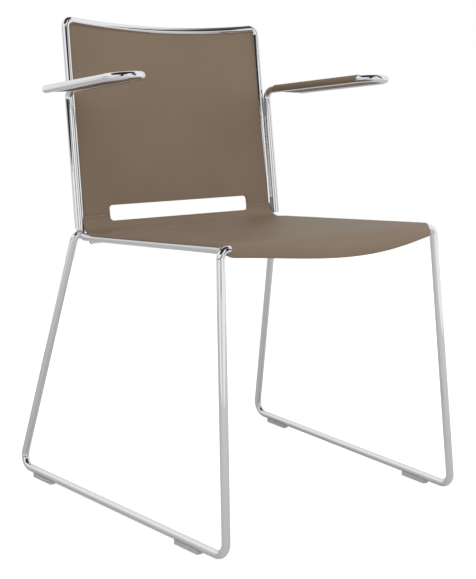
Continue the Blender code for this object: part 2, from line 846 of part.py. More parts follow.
def centre_front_to_back():
    """Move everything so that the middle of the chair's box stands over the origin."""
    meshes = [thing.data for thing in bpy.data.objects]
    visible = [thing.data for thing in bpy.data.objects if not thing.hide_render]
    reach = [vertex.co.y for mesh in visible for vertex in mesh.vertices]
    middle = (min(reach) + max(reach)) / 2
    for mesh in meshes:
        mesh.transform(Matrix.Translation((0, -middle, 0)))


def main():
    clear_scene()
    chrome = make_material("chromed steel", chrome_colour, 0.08, 1.0)
    plastic = make_material("moulded polypropylene", plastic_colour, 0.5, 0.0)
    glide_plastic = make_material("glide plastic", glide_colour, 0.35, 0.0)
    zinc = make_material("zinc plated steel", zinc_colour, 0.3, 1.0)
    clear_radius = rod_radius + seat_clearance

    seat_shell = build_seat_shell(plastic)
    back_panel = build_back_panel(plastic)
    slot = slot_cutter("slot", plastic)
    back_groove = back_frame_rod("back_frame_groove", plastic, clear_radius)
    for shell in (seat_shell, back_panel):
        cut_with(shell, slot)
        cut_with(shell, back_groove)

    back_frame_rod("back_frame", chrome)
    build_rear_cross_rod(chrome)
    for side, word in ((-1, "left"), (1, "right")):
        frame = side_frame_rod(side, "side_frame_" + word, chrome)
        trim_rear_leg_top(frame, side, chrome)
        cut_with(seat_shell, side_frame_rod(side, "side_groove_" + word, plastic, clear_radius))
        for end, y in (("front", glide_front_setback - foot_half_length),
                       ("rear", foot_half_length - glide_rear_setback)):
            build_glide(side, word, end, y, frame, glide_plastic)
        path, radii = arm_path()
        arm_points = [mirrored(point, side) for point in path]
        rod_object("arm_rod_" + word, arm_points, chrome, radii=radii)
        pad = build_arm_pad(side, "arm_pad_" + word, path, plastic)
        wide_radii = [radius + seat_clearance / rod_radius for radius in radii]
        cut_with(pad, rod_object("arm_bore_" + word, arm_points, plastic, rod_radius, wide_radii))
    build_seat_fixings(seat_shell, (plastic, zinc))
    build_back_fixings(back_panel, (plastic, zinc))
    centre_front_to_back()


main()
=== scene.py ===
import json
import math

import bmesh
import bpy
from mathutils import Matrix, Vector

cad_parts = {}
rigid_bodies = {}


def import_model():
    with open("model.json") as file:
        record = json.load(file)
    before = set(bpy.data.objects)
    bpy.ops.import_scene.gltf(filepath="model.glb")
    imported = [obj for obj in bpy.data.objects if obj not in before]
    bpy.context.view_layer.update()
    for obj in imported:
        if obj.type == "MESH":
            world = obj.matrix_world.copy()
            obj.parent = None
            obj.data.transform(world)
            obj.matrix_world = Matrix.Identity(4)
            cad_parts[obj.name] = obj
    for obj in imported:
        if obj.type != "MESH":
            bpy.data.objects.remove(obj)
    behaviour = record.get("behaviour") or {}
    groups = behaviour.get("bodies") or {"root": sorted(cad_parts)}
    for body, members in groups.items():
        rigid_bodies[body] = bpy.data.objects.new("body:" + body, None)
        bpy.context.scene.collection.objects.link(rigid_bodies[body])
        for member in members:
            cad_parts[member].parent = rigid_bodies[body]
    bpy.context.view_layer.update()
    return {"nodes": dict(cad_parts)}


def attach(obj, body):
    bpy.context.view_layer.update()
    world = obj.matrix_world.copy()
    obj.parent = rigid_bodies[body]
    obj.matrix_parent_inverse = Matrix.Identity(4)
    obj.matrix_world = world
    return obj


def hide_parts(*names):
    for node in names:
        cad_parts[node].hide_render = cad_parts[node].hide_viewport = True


for leftOver in list(bpy.data.objects):
    bpy.data.objects.remove(leftOver)
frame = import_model()
print("frame loaded with", len(frame["nodes"]), "nodes")

# Everything is in metres, in the frame of the CAD: +Z up, the chair's front towards -Y.

frameRods = {
    "radius": 0.0065,
    "gap": 0.0003,
    "sides": 32,
    "bendSteps": 16,
    "topRodSteps": 24,
    "seatRodHeight": 0.4510,
    "railHalfWidth": 0.2113,
    "railTaper": 0.0036,
    "railFall": 0.0206,
    "railFrontY": -0.23444,
    "railRearY": 0.16816,
    "frontShoulder": 0.0095,
    "frontSplay": 0.0206,
    "rearShoulder": 0.0125,
    "rearSplay": 0.0527,
    "rearLift": 0.0051,
    "footFrontY": -0.27304,
    "footRearY": 0.28396,
    "floorBend": 0.021,
    "frameBend": 0.013,
    "runnerHeight": 0.012,
    "backRise": 0.3601,
    "backLean": 0.0435,
    "backTaper": 0.0034,
    "topBend": 0.012,
    "topDip": 0.011,
    "topHollow": 0.014,
    "crossSetback": 0.032,
    "crossDrop": 0.0038,
}

armLoop = {
    "cornerDrop": 0.1163,
    "bend": 0.016,
    "rise": 0.0778,  # metres up for each metre forward
    "outerDrop": 0.0023,
    "loopRadius": 0.029,
    "loopReach": 0.2111,
    "loopSpread": 0.0125,
    "freeSetback": 0.013,
    "freeSpread": 0.0015,
    "loopSteps": 40,
    "domeSteps": 8,
}


def between(start, end, share):
    return start + (end - start) * share


def smoothStep(share):
    share = min(1.0, max(0.0, share))
    return share * share * (3 - 2 * share)


def mirrored(point, side):
    return Vector((side * point.x, point.y, point.z))


def lineAtY(start, end, y):
    return between(start, end, (y - start.y) / (end.y - start.y))


def quarterRound(inset, drop, steps):
    # (inset, drop) pairs round an edge, from the flat face to the side
    turns = [math.pi / 2 * step / steps for step in range(steps + 1)]
    return [(inset * (1 - math.sin(turn)), drop * (1 - math.cos(turn))) for turn in turns]


def hexColour(text):
    parts = [int(text[i:i + 2], 16) / 255 for i in (1, 3, 5)]
    linear = [c / 12.92 if c <= 0.04045 else ((c + 0.055) / 1.055) ** 2.4 for c in parts]
    return (*linear, 1.0)


def setInputs(tree, node, inputs):
    # by name, or by number where names repeat; a node as the value stands for its first output
    for name, value in inputs.items():
        socket = node.inputs[name] if isinstance(name, int) else \
            next(socket for socket in node.inputs if socket.name == name and socket.enabled)
        if isinstance(value, bpy.types.Node):
            value = next(output for output in value.outputs if output.enabled)
        if isinstance(value, bpy.types.NodeSocket):
            tree.links.new(value, socket)
        else:
            socket.default_value = value


def addNode(tree, kind, settings=None, inputs=None):
    node = tree.nodes.new(kind)
    for name, value in (settings or {}).items():
        setattr(node, name, value)
    setInputs(tree, node, inputs or {})
    return node


# Where the rods run, on the right-hand side; the left is its mirror image.
backHalfWidth = frameRods["railHalfWidth"] - frameRods["railTaper"]
backHeight = frameRods["seatRodHeight"] - frameRods["railFall"]
backBottom = Vector((backHalfWidth, frameRods["railRearY"], backHeight))
backTop = backBottom + Vector((-frameRods["backTaper"], frameRods["backLean"],
                               frameRods["backRise"]))
backUp = Vector((0, frameRods["backLean"], frameRods["backRise"])).normalized()
backNormal = backUp.cross(Vector((-1, 0, 0))).normalized()  # out of the back's front
upright = Vector((0, 0, 1))
sideways = Vector((1, 0, 0))

railFront = Vector((frameRods["railHalfWidth"], frameRods["railFrontY"],
                    frameRods["seatRodHeight"]))
frontLegTop = railFront + sideways * frameRods["frontShoulder"]
rearLegTop = Vector((backHalfWidth + frameRods["rearShoulder"],
                     frameRods["railRearY"] + frameRods["gap"], backHeight + frameRods["rearLift"]))
frontFoot = Vector((frontLegTop.x + frameRods["frontSplay"], frameRods["footFrontY"],
                    frameRods["runnerHeight"]))
rearFoot = Vector((rearLegTop.x + frameRods["rearSplay"], frameRods["footRearY"],
                   frameRods["runnerHeight"]))
postReach = (2 * frameRods["radius"] + frameRods["gap"]) / math.sqrt(2)
postStand = (sideways + backNormal) * postReach  # from the upright's axis to the arm post's
postTopHeight = backTop.z - armLoop["cornerDrop"]
postFootHeight = backHeight + frameRods["frameBend"]


def railPoint(y):
    return lineAtY(railFront, backBottom, y)


def backPoint(height, x=None, offset=0.0):
    point = between(backBottom, backTop, (height - backBottom.z) / frameRods["backRise"])
    if x is not None:
        point.x = x
    return point + backNormal * offset


def topRodPoint(share):
    bow = 4 * share * (1 - share)
    sag = Vector((0, frameRods["topHollow"], -frameRods["topDip"])) * bow
    return between(mirrored(backTop, -1), backTop, share) + sag


def roundedPath(corners, steps=frameRods["bendSteps"]):
    # corners: (point, radius of the bend there)
    points = []
    for index, (corner, radius) in enumerate(corners):
        if radius == 0 or index in (0, len(corners) - 1):
            points.append(corner.copy())
            continue
        toPrevious = (corners[index - 1][0] - corner).normalized()
        toNext = (corners[index + 1][0] - corner).normalized()
        half = toPrevious.angle(toNext) / 2
        centre = corner + (toPrevious + toNext).normalized() * (radius / math.sin(half))
        first = corner + toPrevious * (radius / math.tan(half)) - centre
        last = corner + toNext * (radius / math.tan(half)) - centre
        turn = first.angle(last)
        for step in range(steps + 1):
            share = step / steps
            arm = first * math.sin((1 - share) * turn) + last * math.sin(share * turn)
            points.append(centre + arm / math.sin(turn))
    return points


def sledPath():
    rearEnd = rearLegTop - sideways * 2 * frameRods["frameBend"]
    corners = [(frontLegTop, frameRods["frameBend"]), (frontFoot, frameRods["floorBend"]),
               (rearFoot, frameRods["floorBend"]), (rearLegTop, frameRods["frameBend"]),
               (rearEnd, 0)]
    left = [(mirrored(point, -1), radius) for point, radius in reversed(corners)]
    return roundedPath(left + corners)[1:-1]  # the bend's end lies inside the upright


def backPath():
    railEnd = railPoint(frameRods["railFrontY"] + frameRods["radius"])
    steps = frameRods["topRodSteps"]
    top = [topRodPoint(step / steps) for step in range(steps + 1)]
    corners = [(mirrored(railEnd, -1), 0), (mirrored(backBottom, -1), frameRods["frameBend"]),
               (top[0], frameRods["topBend"])]
    corners += [(point, 0) for point in top[2:-2]]  # the two bends take the place of the rest
    corners += [(top[-1], frameRods["topBend"]), (backBottom, frameRods["frameBend"]), (railEnd, 0)]
    return roundedPath(corners)


def armPath():
    # the points, the rod's swell at each, and a line along each strand
    postTop = backPoint(postTopHeight) + postStand
    postFoot = backPoint(postFootHeight + frameRods["gap"]) + postStand
    loopX = postTop.x + armLoop["loopSpread"] + armLoop["loopRadius"]
    loopY = frameRods["railRearY"] - armLoop["loopReach"]

    def heightAt(y):
        return postTop.z + armLoop["rise"] * (postTop.y - y)

    loopStart = Vector((loopX - armLoop["loopRadius"], loopY, heightAt(loopY)))
    points = roundedPath([(postFoot, 0), (postTop, armLoop["bend"]), (loopStart, 0)])
    innerStrand = (points[-2], points[-1])
    for step in range(1, armLoop["loopSteps"] + 1):
        angle = math.pi * step / armLoop["loopSteps"]
        y = loopY - armLoop["loopRadius"] * math.sin(angle)
        drop = armLoop["outerDrop"] * (1 - math.cos(angle)) / 2
        x = loopX - armLoop["loopRadius"] * math.cos(angle)
        points.append(Vector((x, y, heightAt(y) - drop)))
    freeY = frameRods["railRearY"] - armLoop["freeSetback"]
    freeX = postTop.x + 2 * armLoop["loopRadius"] + armLoop["freeSpread"]
    freeEnd = Vector((freeX, freeY, heightAt(freeY) - armLoop["outerDrop"]))
    outerStrand = (points[-1], freeEnd)
    along = (freeEnd - points[-1]).normalized()
    swells = [1.0] * len(points)
    for step in range(armLoop["domeSteps"] + 1):  # it ends a quarter step short of the pole
        angle = math.pi / 2 * step / (armLoop["domeSteps"] + 0.25)
        points.append(freeEnd + along * frameRods["radius"] * math.sin(angle))
        swells.append(math.cos(angle))
    return points, swells, {"inner": innerStrand, "outer": outerStrand}


def newMaterial(name):
    material = bpy.data.materials.new(name)
    material.use_nodes = True
    return material, material.node_tree, material.node_tree.nodes["Principled BSDF"]


def makeFinish(name, finish):
    # Each pattern is a noise with its size in metres, detail and roughness. "sheen" drives the
    # roughness between its two values, "relief" the bump and "tint" the colour.
    material, tree, shader = newMaterial(name)
    place = addNode(tree, "ShaderNodeTexCoord").outputs["Object"]
    noises = {}
    for label, (size, detail, roughness) in finish["patterns"].items():
        noises[label] = addNode(tree, "ShaderNodeTexNoise", {}, {
            "Vector": place, "Scale": 1 / size, "Detail": detail, "Roughness": roughness})
    low, high = finish["spread"]
    clear, dull = finish["roughness"]
    setInputs(tree, shader, {"Roughness": addNode(tree, "ShaderNodeMapRange", {}, {
        "Value": noises["sheen"], "From Min": low, "From Max": high,
        "To Min": clear, "To Max": dull})})
    setInputs(tree, shader, finish["shader"])
    if "relief" in noises:
        strength, depth = finish["relief"]
        setInputs(tree, shader, {"Normal": addNode(tree, "ShaderNodeBump", {}, {
            "Height": noises["relief"], "Strength": strength, "Distance": depth})})
    if "tint" in noises:
        tint = addNode(tree, "ShaderNodeValToRGB", {}, {"Fac": noises["tint"]})
        for stop, (position, colour) in zip(tint.color_ramp.elements, finish["tint"]):
            stop.position = position
            stop.color = hexColour(colour)
        setInputs(tree, shader, {"Base Color": tint})
    return material


# Chrome plating over polished drawn steel rod: a near-perfect mirror, faintly wavy along the
# rod, with slightly duller patches where hands rub it.
chromeFinish = {
    "shader": {"Base Color": hexColour("#e7e7e9"), "Metallic": 1.0},
    "patterns": {"sheen": (0.02632, 3.0, 0.6), "relief": (0.007143, 1.0, 0.5)},
    "spread": (0.35, 0.75),
    "roughness": (0.012, 0.035),
    "relief": (0.06, 0.0002),
}

# A weld bead under the plating: the same chrome, duller and pitted, so that it catches grey.
weldFinish = {
    "shader": {"Base Color": hexColour("#d3d4d7"), "Metallic": 1.0},
    "patterns": {"sheen": (0.001111, 3.0, 0.5), "relief": (0.001111, 3.0, 0.5)},
    "spread": (0.35, 0.7),
    "roughness": (0.16, 0.32),
    "relief": (0.3, 0.0003),
}

# Injection-moulded polypropylene, coloured through in a warm grey-brown: an even fine eroded
# grain, drawn at about 1.2 mm so that it shows, and a soft, slightly uneven sheen.
plasticFinish = {
    "shader": {"Specular IOR Level": 0.2},
    "patterns": {"tint": (0.1111, 4.0, 0.55), "sheen": (0.0011765, 2.0, 0.5),
                 "relief": (0.0011765, 2.0, 0.5)},
    "tint": ((0.25, "#81705e"), (0.75, "#877664")),
    "spread": (0.3, 0.7),
    "roughness": (0.48, 0.60),
    "relief": (0.25, 0.0003),
}

# Natural translucent nylon: pale, waxy, scuffed, and it lets some light through its edges.
nylonFinish = {
    "shader": {"Base Color": hexColour("#d4d4d2"), "Transmission Weight": 0.35, "IOR": 1.53},
    "patterns": {"sheen": (0.003846, 5.0, 0.5)},
    "spread": (0.35, 0.7),
    "roughness": (0.28, 0.5),
}

# Bright zinc plating on pressed steel: greyer and softer than the chrome, with a fine mottle.
zincFinish = {
    "shader": {"Metallic": 1.0},
    "patterns": {"tint": (0.002381, 4.0, 0.5), "sheen": (0.002381, 4.0, 0.5)},
    "tint": ((0.3, "#a9adb3"), (0.7, "#cbced2")),
    "spread": (0.3, 0.7),
    "roughness": (0.24, 0.38),
}

chrome = makeFinish("chromePlatedSteel", chromeFinish)
weld = makeFinish("platedWeld", weldFinish)
plastic = makeFinish("mouldedPolypropylene", plasticFinish)
nylon = makeFinish("naturalNylon", nylonFinish)
zinc = makeFinish("zincPlatedSteel", zincFinish)
print("materials made")


def newObject(name, verts, faces, edges=()):
    mesh = bpy.data.meshes.new(name)
    mesh.from_pydata([tuple(v) for v in verts], list(edges), faces)
    thing = bpy.data.objects.new(name, mesh)
    bpy.context.scene.collection.objects.link(thing)
    return thing


def faceOutwards(thing):
    shape = bmesh.new()
    shape.from_mesh(thing.data)
    bmesh.ops.remove_doubles(shape, verts=shape.verts, dist=0.000001)
    bmesh.ops.recalc_face_normals(shape, faces=shape.faces)
    shape.to_mesh(thing.data)
    shape.free()
    return thing


def settle(thing):
    # turn what the modifiers make into a plain mesh
    bpy.context.view_layer.update()
    evaluated = thing.evaluated_get(bpy.context.evaluated_depsgraph_get())
    mesh = bpy.data.meshes.new_from_object(evaluated)
    thing.modifiers.clear()
    thing.data = mesh
    return thing


def finishPiece(thing, material, nodes, sharpDegrees=38):
    thing.data.materials.clear()
    thing.data.materials.append(material)
    thing.data.shade_smooth()
    thing.data.set_sharp_from_angle(angle=math.radians(sharpDegrees))
    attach(thing, "root")
    if nodes:
        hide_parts(*nodes)
    return thing


def startTree(name, inputs):
    # inputs: label, kind of socket and first value of each; returns the sockets' identifiers too
    tree = bpy.data.node_groups.new(name, "GeometryNodeTree")
    identifiers = {}
    for label, kind, value in [("Geometry", "NodeSocketGeometry", None)] + inputs:
        socket = tree.interface.new_socket(label, in_out="INPUT", socket_type=kind)
        if value is not None:
            socket.default_value = value
        identifiers[label] = socket.identifier
    tree.interface.new_socket("Geometry", in_out="OUTPUT", socket_type="NodeSocketGeometry")
    return tree, identifiers, addNode(tree, "NodeGroupInput").outputs


def endTree(tree, geometry, material):
    # material is a material, or the group input's socket for one
    real = addNode(tree, "GeometryNodeRealizeInstances", {}, {"Geometry": geometry})
    coloured = addNode(tree, "GeometryNodeSetMaterial", {},
                       {"Geometry": real, "Material": material})
    addNode(tree, "NodeGroupOutput", {}, {"Geometry": coloured})


def runTree(thing, tree, identifiers, values):
    modifier = thing.modifiers.new(tree.name, "NODES")
    modifier.node_group = tree
    for label, value in values.items():
        modifier[identifiers[label]] = value
    return settle(thing)


def makeRodTree():
    # a round rod along each line of the mesh; the point attribute "swell" scales its radius
    tree, identifiers, given = startTree("roundRodAlongPath", [
        ("Rod Radius", "NodeSocketFloat", frameRods["radius"]),
        ("Sides", "NodeSocketInt", frameRods["sides"])])
    line = addNode(tree, "GeometryNodeMeshToCurve", {}, {"Mesh": given["Geometry"]})
    ring = addNode(tree, "GeometryNodeCurvePrimitiveCircle", {"mode": "RADIUS"},
                   {"Resolution": given["Sides"], "Radius": given["Rod Radius"]})
    swell = addNode(tree, "GeometryNodeInputNamedAttribute", {"data_type": "FLOAT"},
                    {"Name": "swell"})
    rod = addNode(tree, "GeometryNodeCurveToMesh", {}, {
        "Curve": line, "Profile Curve": ring, "Scale": swell, "Fill Caps": True})
    endTree(tree, rod, chrome)
    return tree, identifiers


def makeCopiesTree():
    # one piece at every point of the mesh, turned and stretched by the points' attributes
    tree, identifiers, given = startTree("piecesOnPoints", [
        ("Piece", "NodeSocketObject", None), ("Material", "NodeSocketMaterial", None)])
    piece = addNode(tree, "GeometryNodeObjectInfo", {"transform_space": "ORIGINAL"},
                    {"Object": given["Piece"]})
    turn, stretch = (addNode(tree, "GeometryNodeInputNamedAttribute", {"data_type": "FLOAT_VECTOR"},
                             {"Name": name}) for name in ("turn", "stretch"))
    copies = addNode(tree, "GeometryNodeInstanceOnPoints", {}, {
        "Points": given["Geometry"], "Instance": piece.outputs["Geometry"],
        "Rotation": turn, "Scale": stretch})
    endTree(tree, copies, given["Material"])
    return tree, identifiers


rodTree, rodInputs = makeRodTree()
copiesTree, copiesInputs = makeCopiesTree()


def rodPiece(name, paths, radius=frameRods["radius"], swells=None, sides=frameRods["sides"],
             closed=False):
    verts = []
    edges = []
    for path in paths:
        start = len(verts)
        verts += path
        edges += [(index, index + 1) for index in range(start, len(verts) - 1)]
        if closed:
            edges.append((len(verts) - 1, start))
    thing = newObject(name, verts, [], edges)
    swell = thing.data.attributes.new("swell", "FLOAT", "POINT")
    swell.data.foreach_set("value", swells or [1.0] * len(verts))
    runTree(thing, rodTree, rodInputs, {"Rod Radius": radius, "Sides": sides})
    return faceOutwards(thing)


def ringPiece(name, rings, closed=False):
    # a skin over rings of equally many points; closed joins the last ring to the first
    count = len(rings[0])
    verts = [point for ring in rings for point in ring]
    faces = []
    for ring in range(len(rings) - (0 if closed else 1)):
        first = ring * count
        second = (ring + 1) % len(rings) * count
        for index in range(count):
            other = (index + 1) % count
            faces.append((first + index, first + other, second + other, second + index))
    if not closed:
        faces.append(tuple(range(count)))
        faces.append(tuple(range(len(verts) - count, len(verts))))
    return faceOutwards(newObject(name, verts, faces))


def placedCopies(name, piece, places, material, nodes, sharpDegrees=38):
    # places: (point, axis that the piece's Z takes, axis that its X takes, stretch along Z)
    thing = newObject(name, [place[0] for place in places], [])
    turns = []
    stretches = []
    for point, standing, across, stretch in places:
        side = standing.cross(across).normalized()
        turn = Matrix((side.cross(standing).normalized(), side, standing.normalized())).transposed()
        turns += turn.to_euler("XYZ")
        stretches += (1.0, 1.0, stretch)
    for label, values in (("turn", turns), ("stretch", stretches)):
        attribute = thing.data.attributes.new(label, "FLOAT_VECTOR", "POINT")
        attribute.data.foreach_set("vector", values)
    runTree(thing, copiesTree, copiesInputs, {"Piece": piece, "Material": material})
    bpy.data.objects.remove(piece)
    return finishPiece(thing, material, nodes, sharpDegrees)


crossY = frameRods["railRearY"] - frameRods["crossSetback"]
crossEnd = railPoint(crossY) - Vector((frameRods["gap"], 0, frameRods["crossDrop"]))
armPoints, armSwells, armStrands = armPath()
finishPiece(rodPiece("sledRod", [sledPath()]), chrome,
            ["side_frame_left", "side_frame_right"])
finishPiece(rodPiece("backRod", [backPath()]), chrome, ["back_frame"])
finishPiece(rodPiece("rearCrossRod", [[mirrored(crossEnd, -1), crossEnd]]), chrome,
            ["rear_cross_rod"])
for side, word in ((-1, "left"), (1, "right")):
    armRod = rodPiece("armRod_" + word, [[mirrored(p, side) for p in armPoints]], swells=armSwells)
    finishPiece(armRod, chrome, ["arm_rod_" + word])
print("rods made")

seatForm = {
    "thickness": 0.005,
    "rest": 0.55,  # how far up the rod's side the plastic lies, in rod radii
    "rearInset": 0.0005,
    "neckSetback": 0.019,
    "neckLength": 0.023,
    "rimRoll": 0.003,
    "foldRadius": 0.024,
    "flatOverrun": 0.0095,
    "frontOverhang": 0.0495,
    "frontBow": 0.045,
    "frontShare": 0.9,  # of the width, between the front corners' bends
    "frontFall": 0.0186,
    "lipRadius": 0.009,
    "lipDepth": 0.019,
    "lipWall": 0.0038,
    "lipBulge": 0.0008,  # of the lip's inner side, into its hollow
    "lipSpread": 1.15,  # above 1, the lip keeps its depth further round the corners
    "underMargin": 0.0004,
    "edgeRound": 0.0014,
    "cornerRadius": 0.030,
    "sideBand": 0.01,  # along each side, moved but not stretched where the upstand widens
    "sideSteps": 44,
    "frontSteps": 54,
    "cornerSteps": 14,
    "foldSteps": 16,
    "upstandSteps": 14,
    "rimSteps": 9,
    "underSteps": 4,
}

backForm = {
    "thickness": 0.005,
    "offsetLow": 0.0070,  # its face before the rods' middle, at the foot and at the top
    "offsetHigh": 0.0004,
    "edgeInset": 0.004,
    "edgeRound": 0.0012,
    "edgeSteps": 5,
    "seamRise": 0.0325,
    "seamGap": 0.0001,
    "rows": 56,
    "columns": 72,
}

lumbarSlot = {
    "sideMargin": 0.0562,
    "bottomRise": 0.0224,
    "height": 0.0265,
    "corner": 0.006,
    "cornerSteps": 10,
    "cutReach": 0.02,
    "edgeRound": 0.0009,
    "edgeSegments": 3,
    "edgeAngle": 50,  # degrees: sharper edges than this are softened
}

seamHeight = backHeight + backForm["seamRise"]
seatHalf = frameRods["railHalfWidth"] + frameRods["radius"]
seatRearHalf = backHalfWidth - seatForm["rearInset"]
seatNeckY = frameRods["railRearY"] - seatForm["neckSetback"]
seatWideY = seatNeckY - seatForm["neckLength"]
seatFallY = frameRods["railFrontY"] + seatForm["flatOverrun"]
seatFrontY = frameRods["railFrontY"] - seatForm["frontOverhang"]


def seatLine(y):
    return railPoint(y).z + frameRods["radius"] * seatForm["rest"] + seatForm["thickness"]


def seatHeight(y):
    fall = max(0.0, (seatFallY - y) / (seatFallY - seatFrontY))
    return seatLine(y) - seatForm["frontFall"] * fall ** 2


def seatWidthAt(y):
    return between(seatRearHalf, seatHalf, smoothStep((seatNeckY - y) / seatForm["neckLength"]))


def panelOffset(height):
    share = (height - backHeight) / frameRods["backRise"]
    return between(backForm["offsetLow"], backForm["offsetHigh"], share)


def upstandProfile():
    # down the front of the back, then round the fold to the seat
    topHeight = seamHeight - backForm["seamGap"] / 2
    top = backPoint(topHeight, 0, panelOffset(topHeight))
    foot = backPoint(backHeight, 0, backForm["offsetLow"])
    slope = seatLine(0) - seatLine(1)
    share = (top.z - seatLine(top.y)) / (top.z - foot.z + (top.y - foot.y) * slope)
    flatY = seatWideY - seatForm["foldRadius"]
    corners = [(top, 0), (between(top, foot, share), seatForm["foldRadius"]),
               (Vector((0, flatY, seatLine(flatY))), 0)]
    path = roundedPath(corners, seatForm["foldSteps"])[:-1]
    steps = seatForm["upstandSteps"]
    return [between(path[0], path[1], step / steps) for step in range(steps)] + path[1:]


def seatOutline(rearY):
    # from the rear along the left side, the front from left to right, and the right side
    cornerY = seatFrontY + seatForm["frontBow"]
    corners = [(Vector((-seatHalf, rearY, 0)), 0),
               (Vector((-seatHalf, cornerY, 0)), seatForm["cornerRadius"])]
    for step in range(seatForm["frontSteps"] + 1):
        share = seatForm["frontShare"] * (2 * step / seatForm["frontSteps"] - 1)
        bowY = seatFrontY + seatForm["frontBow"] * share ** 2
        corners.append((Vector((seatHalf * share, bowY, 0)), 0))
    corners.append((Vector((seatHalf, cornerY, 0)), seatForm["cornerRadius"]))
    corners.append((Vector((seatHalf, rearY, 0)), 0))
    front = roundedPath(corners, seatForm["cornerSteps"])[1:-1]
    left = []
    for step in range(seatForm["sideSteps"]):
        y = between(rearY, front[0].y, step / seatForm["sideSteps"])
        left.append(Vector((-seatWidthAt(y), y, 0)))
    return left, front, [mirrored(point, -1) for point in left]


def rimSection(frontness, rearness):
    # distance inwards and drop, from the inner end of the top, round the rim, to the underside
    thick = seatForm["thickness"]
    lip = seatForm["edgeRound"]
    # inset and drop of the upper rounding, and the rim's whole depth
    rims = {"side": (seatForm["rimRoll"], seatForm["rimRoll"], thick),
            "front": (seatForm["lipRadius"], seatForm["lipDepth"] - lip, seatForm["lipDepth"]),
            "rear": (lip, lip, thick)}
    shapes = []
    for kind, (inset, drop, depth) in rims.items():
        lower = quarterRound(lip, min(lip, depth - drop), seatForm["rimSteps"])
        shape = quarterRound(inset, drop, seatForm["rimSteps"])
        shape += [(inwards, depth - rise) for inwards, rise in reversed(lower)]
        underEnd = max(inset, thick) + seatForm["underMargin"]
        for step in range(seatForm["underSteps"] + 1):
            share = step / seatForm["underSteps"]
            bulge = 4 * share * (1 - share) * (seatForm["lipBulge"] if kind == "front" else 0)
            shape.append((between(seatForm["lipWall"], underEnd, share) + bulge,
                          between(depth, thick, share)))
        shapes.append(shape)
    return [[between(between(atSide, atFront, frontness), atRear, rearness)
             for atSide, atFront, atRear in zip(*points)] for points in zip(*shapes)]


def seatRim(border, sides, columns, rearY):
    # one section of the rim at each point of the outline
    rings = []
    for index, point in enumerate(border):
        if sides <= index < sides + columns:
            along = (border[index + 1] - border[index - 1]).normalized()
            out = Vector((along.y, -along.x, 0))
        else:
            out = Vector((math.copysign(1, point.x), 0, 0))
        frontness = smoothStep(max(0.0, -out.y) * seatForm["lipSpread"])
        section = rimSection(frontness, smoothStep((point.y - seatWideY) / (rearY - seatWideY)))
        top = seatHeight((point - out * section[0][0]).y)
        ring = [point - out * inwards + upright * (top - drop) for inwards, drop in section]
        ring[-1].z = seatHeight(ring[-1].y) - seatForm["thickness"]
        rings.append(ring)
    return rings


def coonsPatch(leftSide, frontSide, rightSide):
    # rows of points that fill the outline from rear to front
    rows = len(leftSide)
    grid = []
    for row in range(rows + 1):
        share = row / rows
        rowLeft = leftSide[row] if row < rows else frontSide[0]
        rowRight = rightSide[row] if row < rows else frontSide[-1]
        line = []
        for frontPoint in frontSide:
            across = (frontPoint.x - frontSide[0].x) / (frontSide[-1].x - frontSide[0].x)
            rear = between(leftSide[0], rightSide[0], across)
            blend = between(rear, frontPoint, share) + between(rowLeft, rowRight, across)
            line.append(blend - between(rear, between(frontSide[0], frontSide[-1], across), share))
        grid.append(line)
    return grid


def stitch(faces, first, second):
    # quads between two rows of vertex numbers
    for index in range(len(first) - 1):
        faces.append((first[index], first[index + 1], second[index + 1], second[index]))


def seatMesh():
    profile = upstandProfile()
    rearY = profile[-1].y
    left, front, right = seatOutline(rearY)
    sides, columns = len(left), len(front)
    rings = seatRim(left + front + list(reversed(right)), sides, columns, rearY)
    verts = []
    faces = []

    def add(point):
        verts.append(point.copy())
        return len(verts) - 1

    grids = []
    loops = []
    for level, drop in ((0, 0), (-1, seatForm["thickness"])):
        edge = [ring[level] for ring in rings]
        lines = coonsPatch(edge[:sides], edge[sides:sides + columns],
                           list(reversed(edge[sides + columns:])))
        grid = [[add(Vector((point.x, point.y, seatHeight(point.y) - drop))) for point in line]
                for line in lines]
        for first, second in zip(grid, grid[1:]):
            stitch(faces, first, second)
        grids.append(grid)
        loops.append([grid[row][0] for row in range(sides)] + grid[sides]
                     + [grid[row][-1] for row in reversed(range(sides))])
    loops[1:1] = [[add(ring[level]) for ring in rings] for level in range(1, len(rings[0]) - 1)]
    for first, second in zip(loops, loops[1:]):
        stitch(faces, first, second)

    # the upstand: the seat's rear section, led up the profile
    rearLoop = [loop[0] for loop in reversed(loops)] + grids[0][0][1:-1]
    rearLoop += [loop[-1] for loop in loops] + list(reversed(grids[1][0][1:-1]))
    section = [verts[index] for index in rearLoop]
    baseHalf = max(point.x for point in section)
    flatHalf = baseHalf - seatForm["sideBand"]
    previous = rearLoop
    for step in reversed(range(len(profile) - 1)):
        tangent = (profile[max(0, step - 1)] - profile[step + 1]).normalized()
        normal = Vector((0, -tangent.z, tangent.y))
        half = max(seatWidthAt(profile[step].y), seatRearHalf)
        ring = []
        for point in section:
            place = profile[step] - normal * (seatHeight(point.y) - point.z)
            if abs(point.x) > flatHalf:
                place.x = math.copysign(abs(point.x) + half - baseHalf, point.x)
            else:
                place.x = point.x * (half - seatForm["sideBand"]) / flatHalf
            ring.append(add(place))
        stitch(faces, previous + [previous[0]], ring + [ring[0]])
        previous = ring
    faces.append(tuple(previous))
    return faceOutwards(newObject("seatShell", verts, faces))


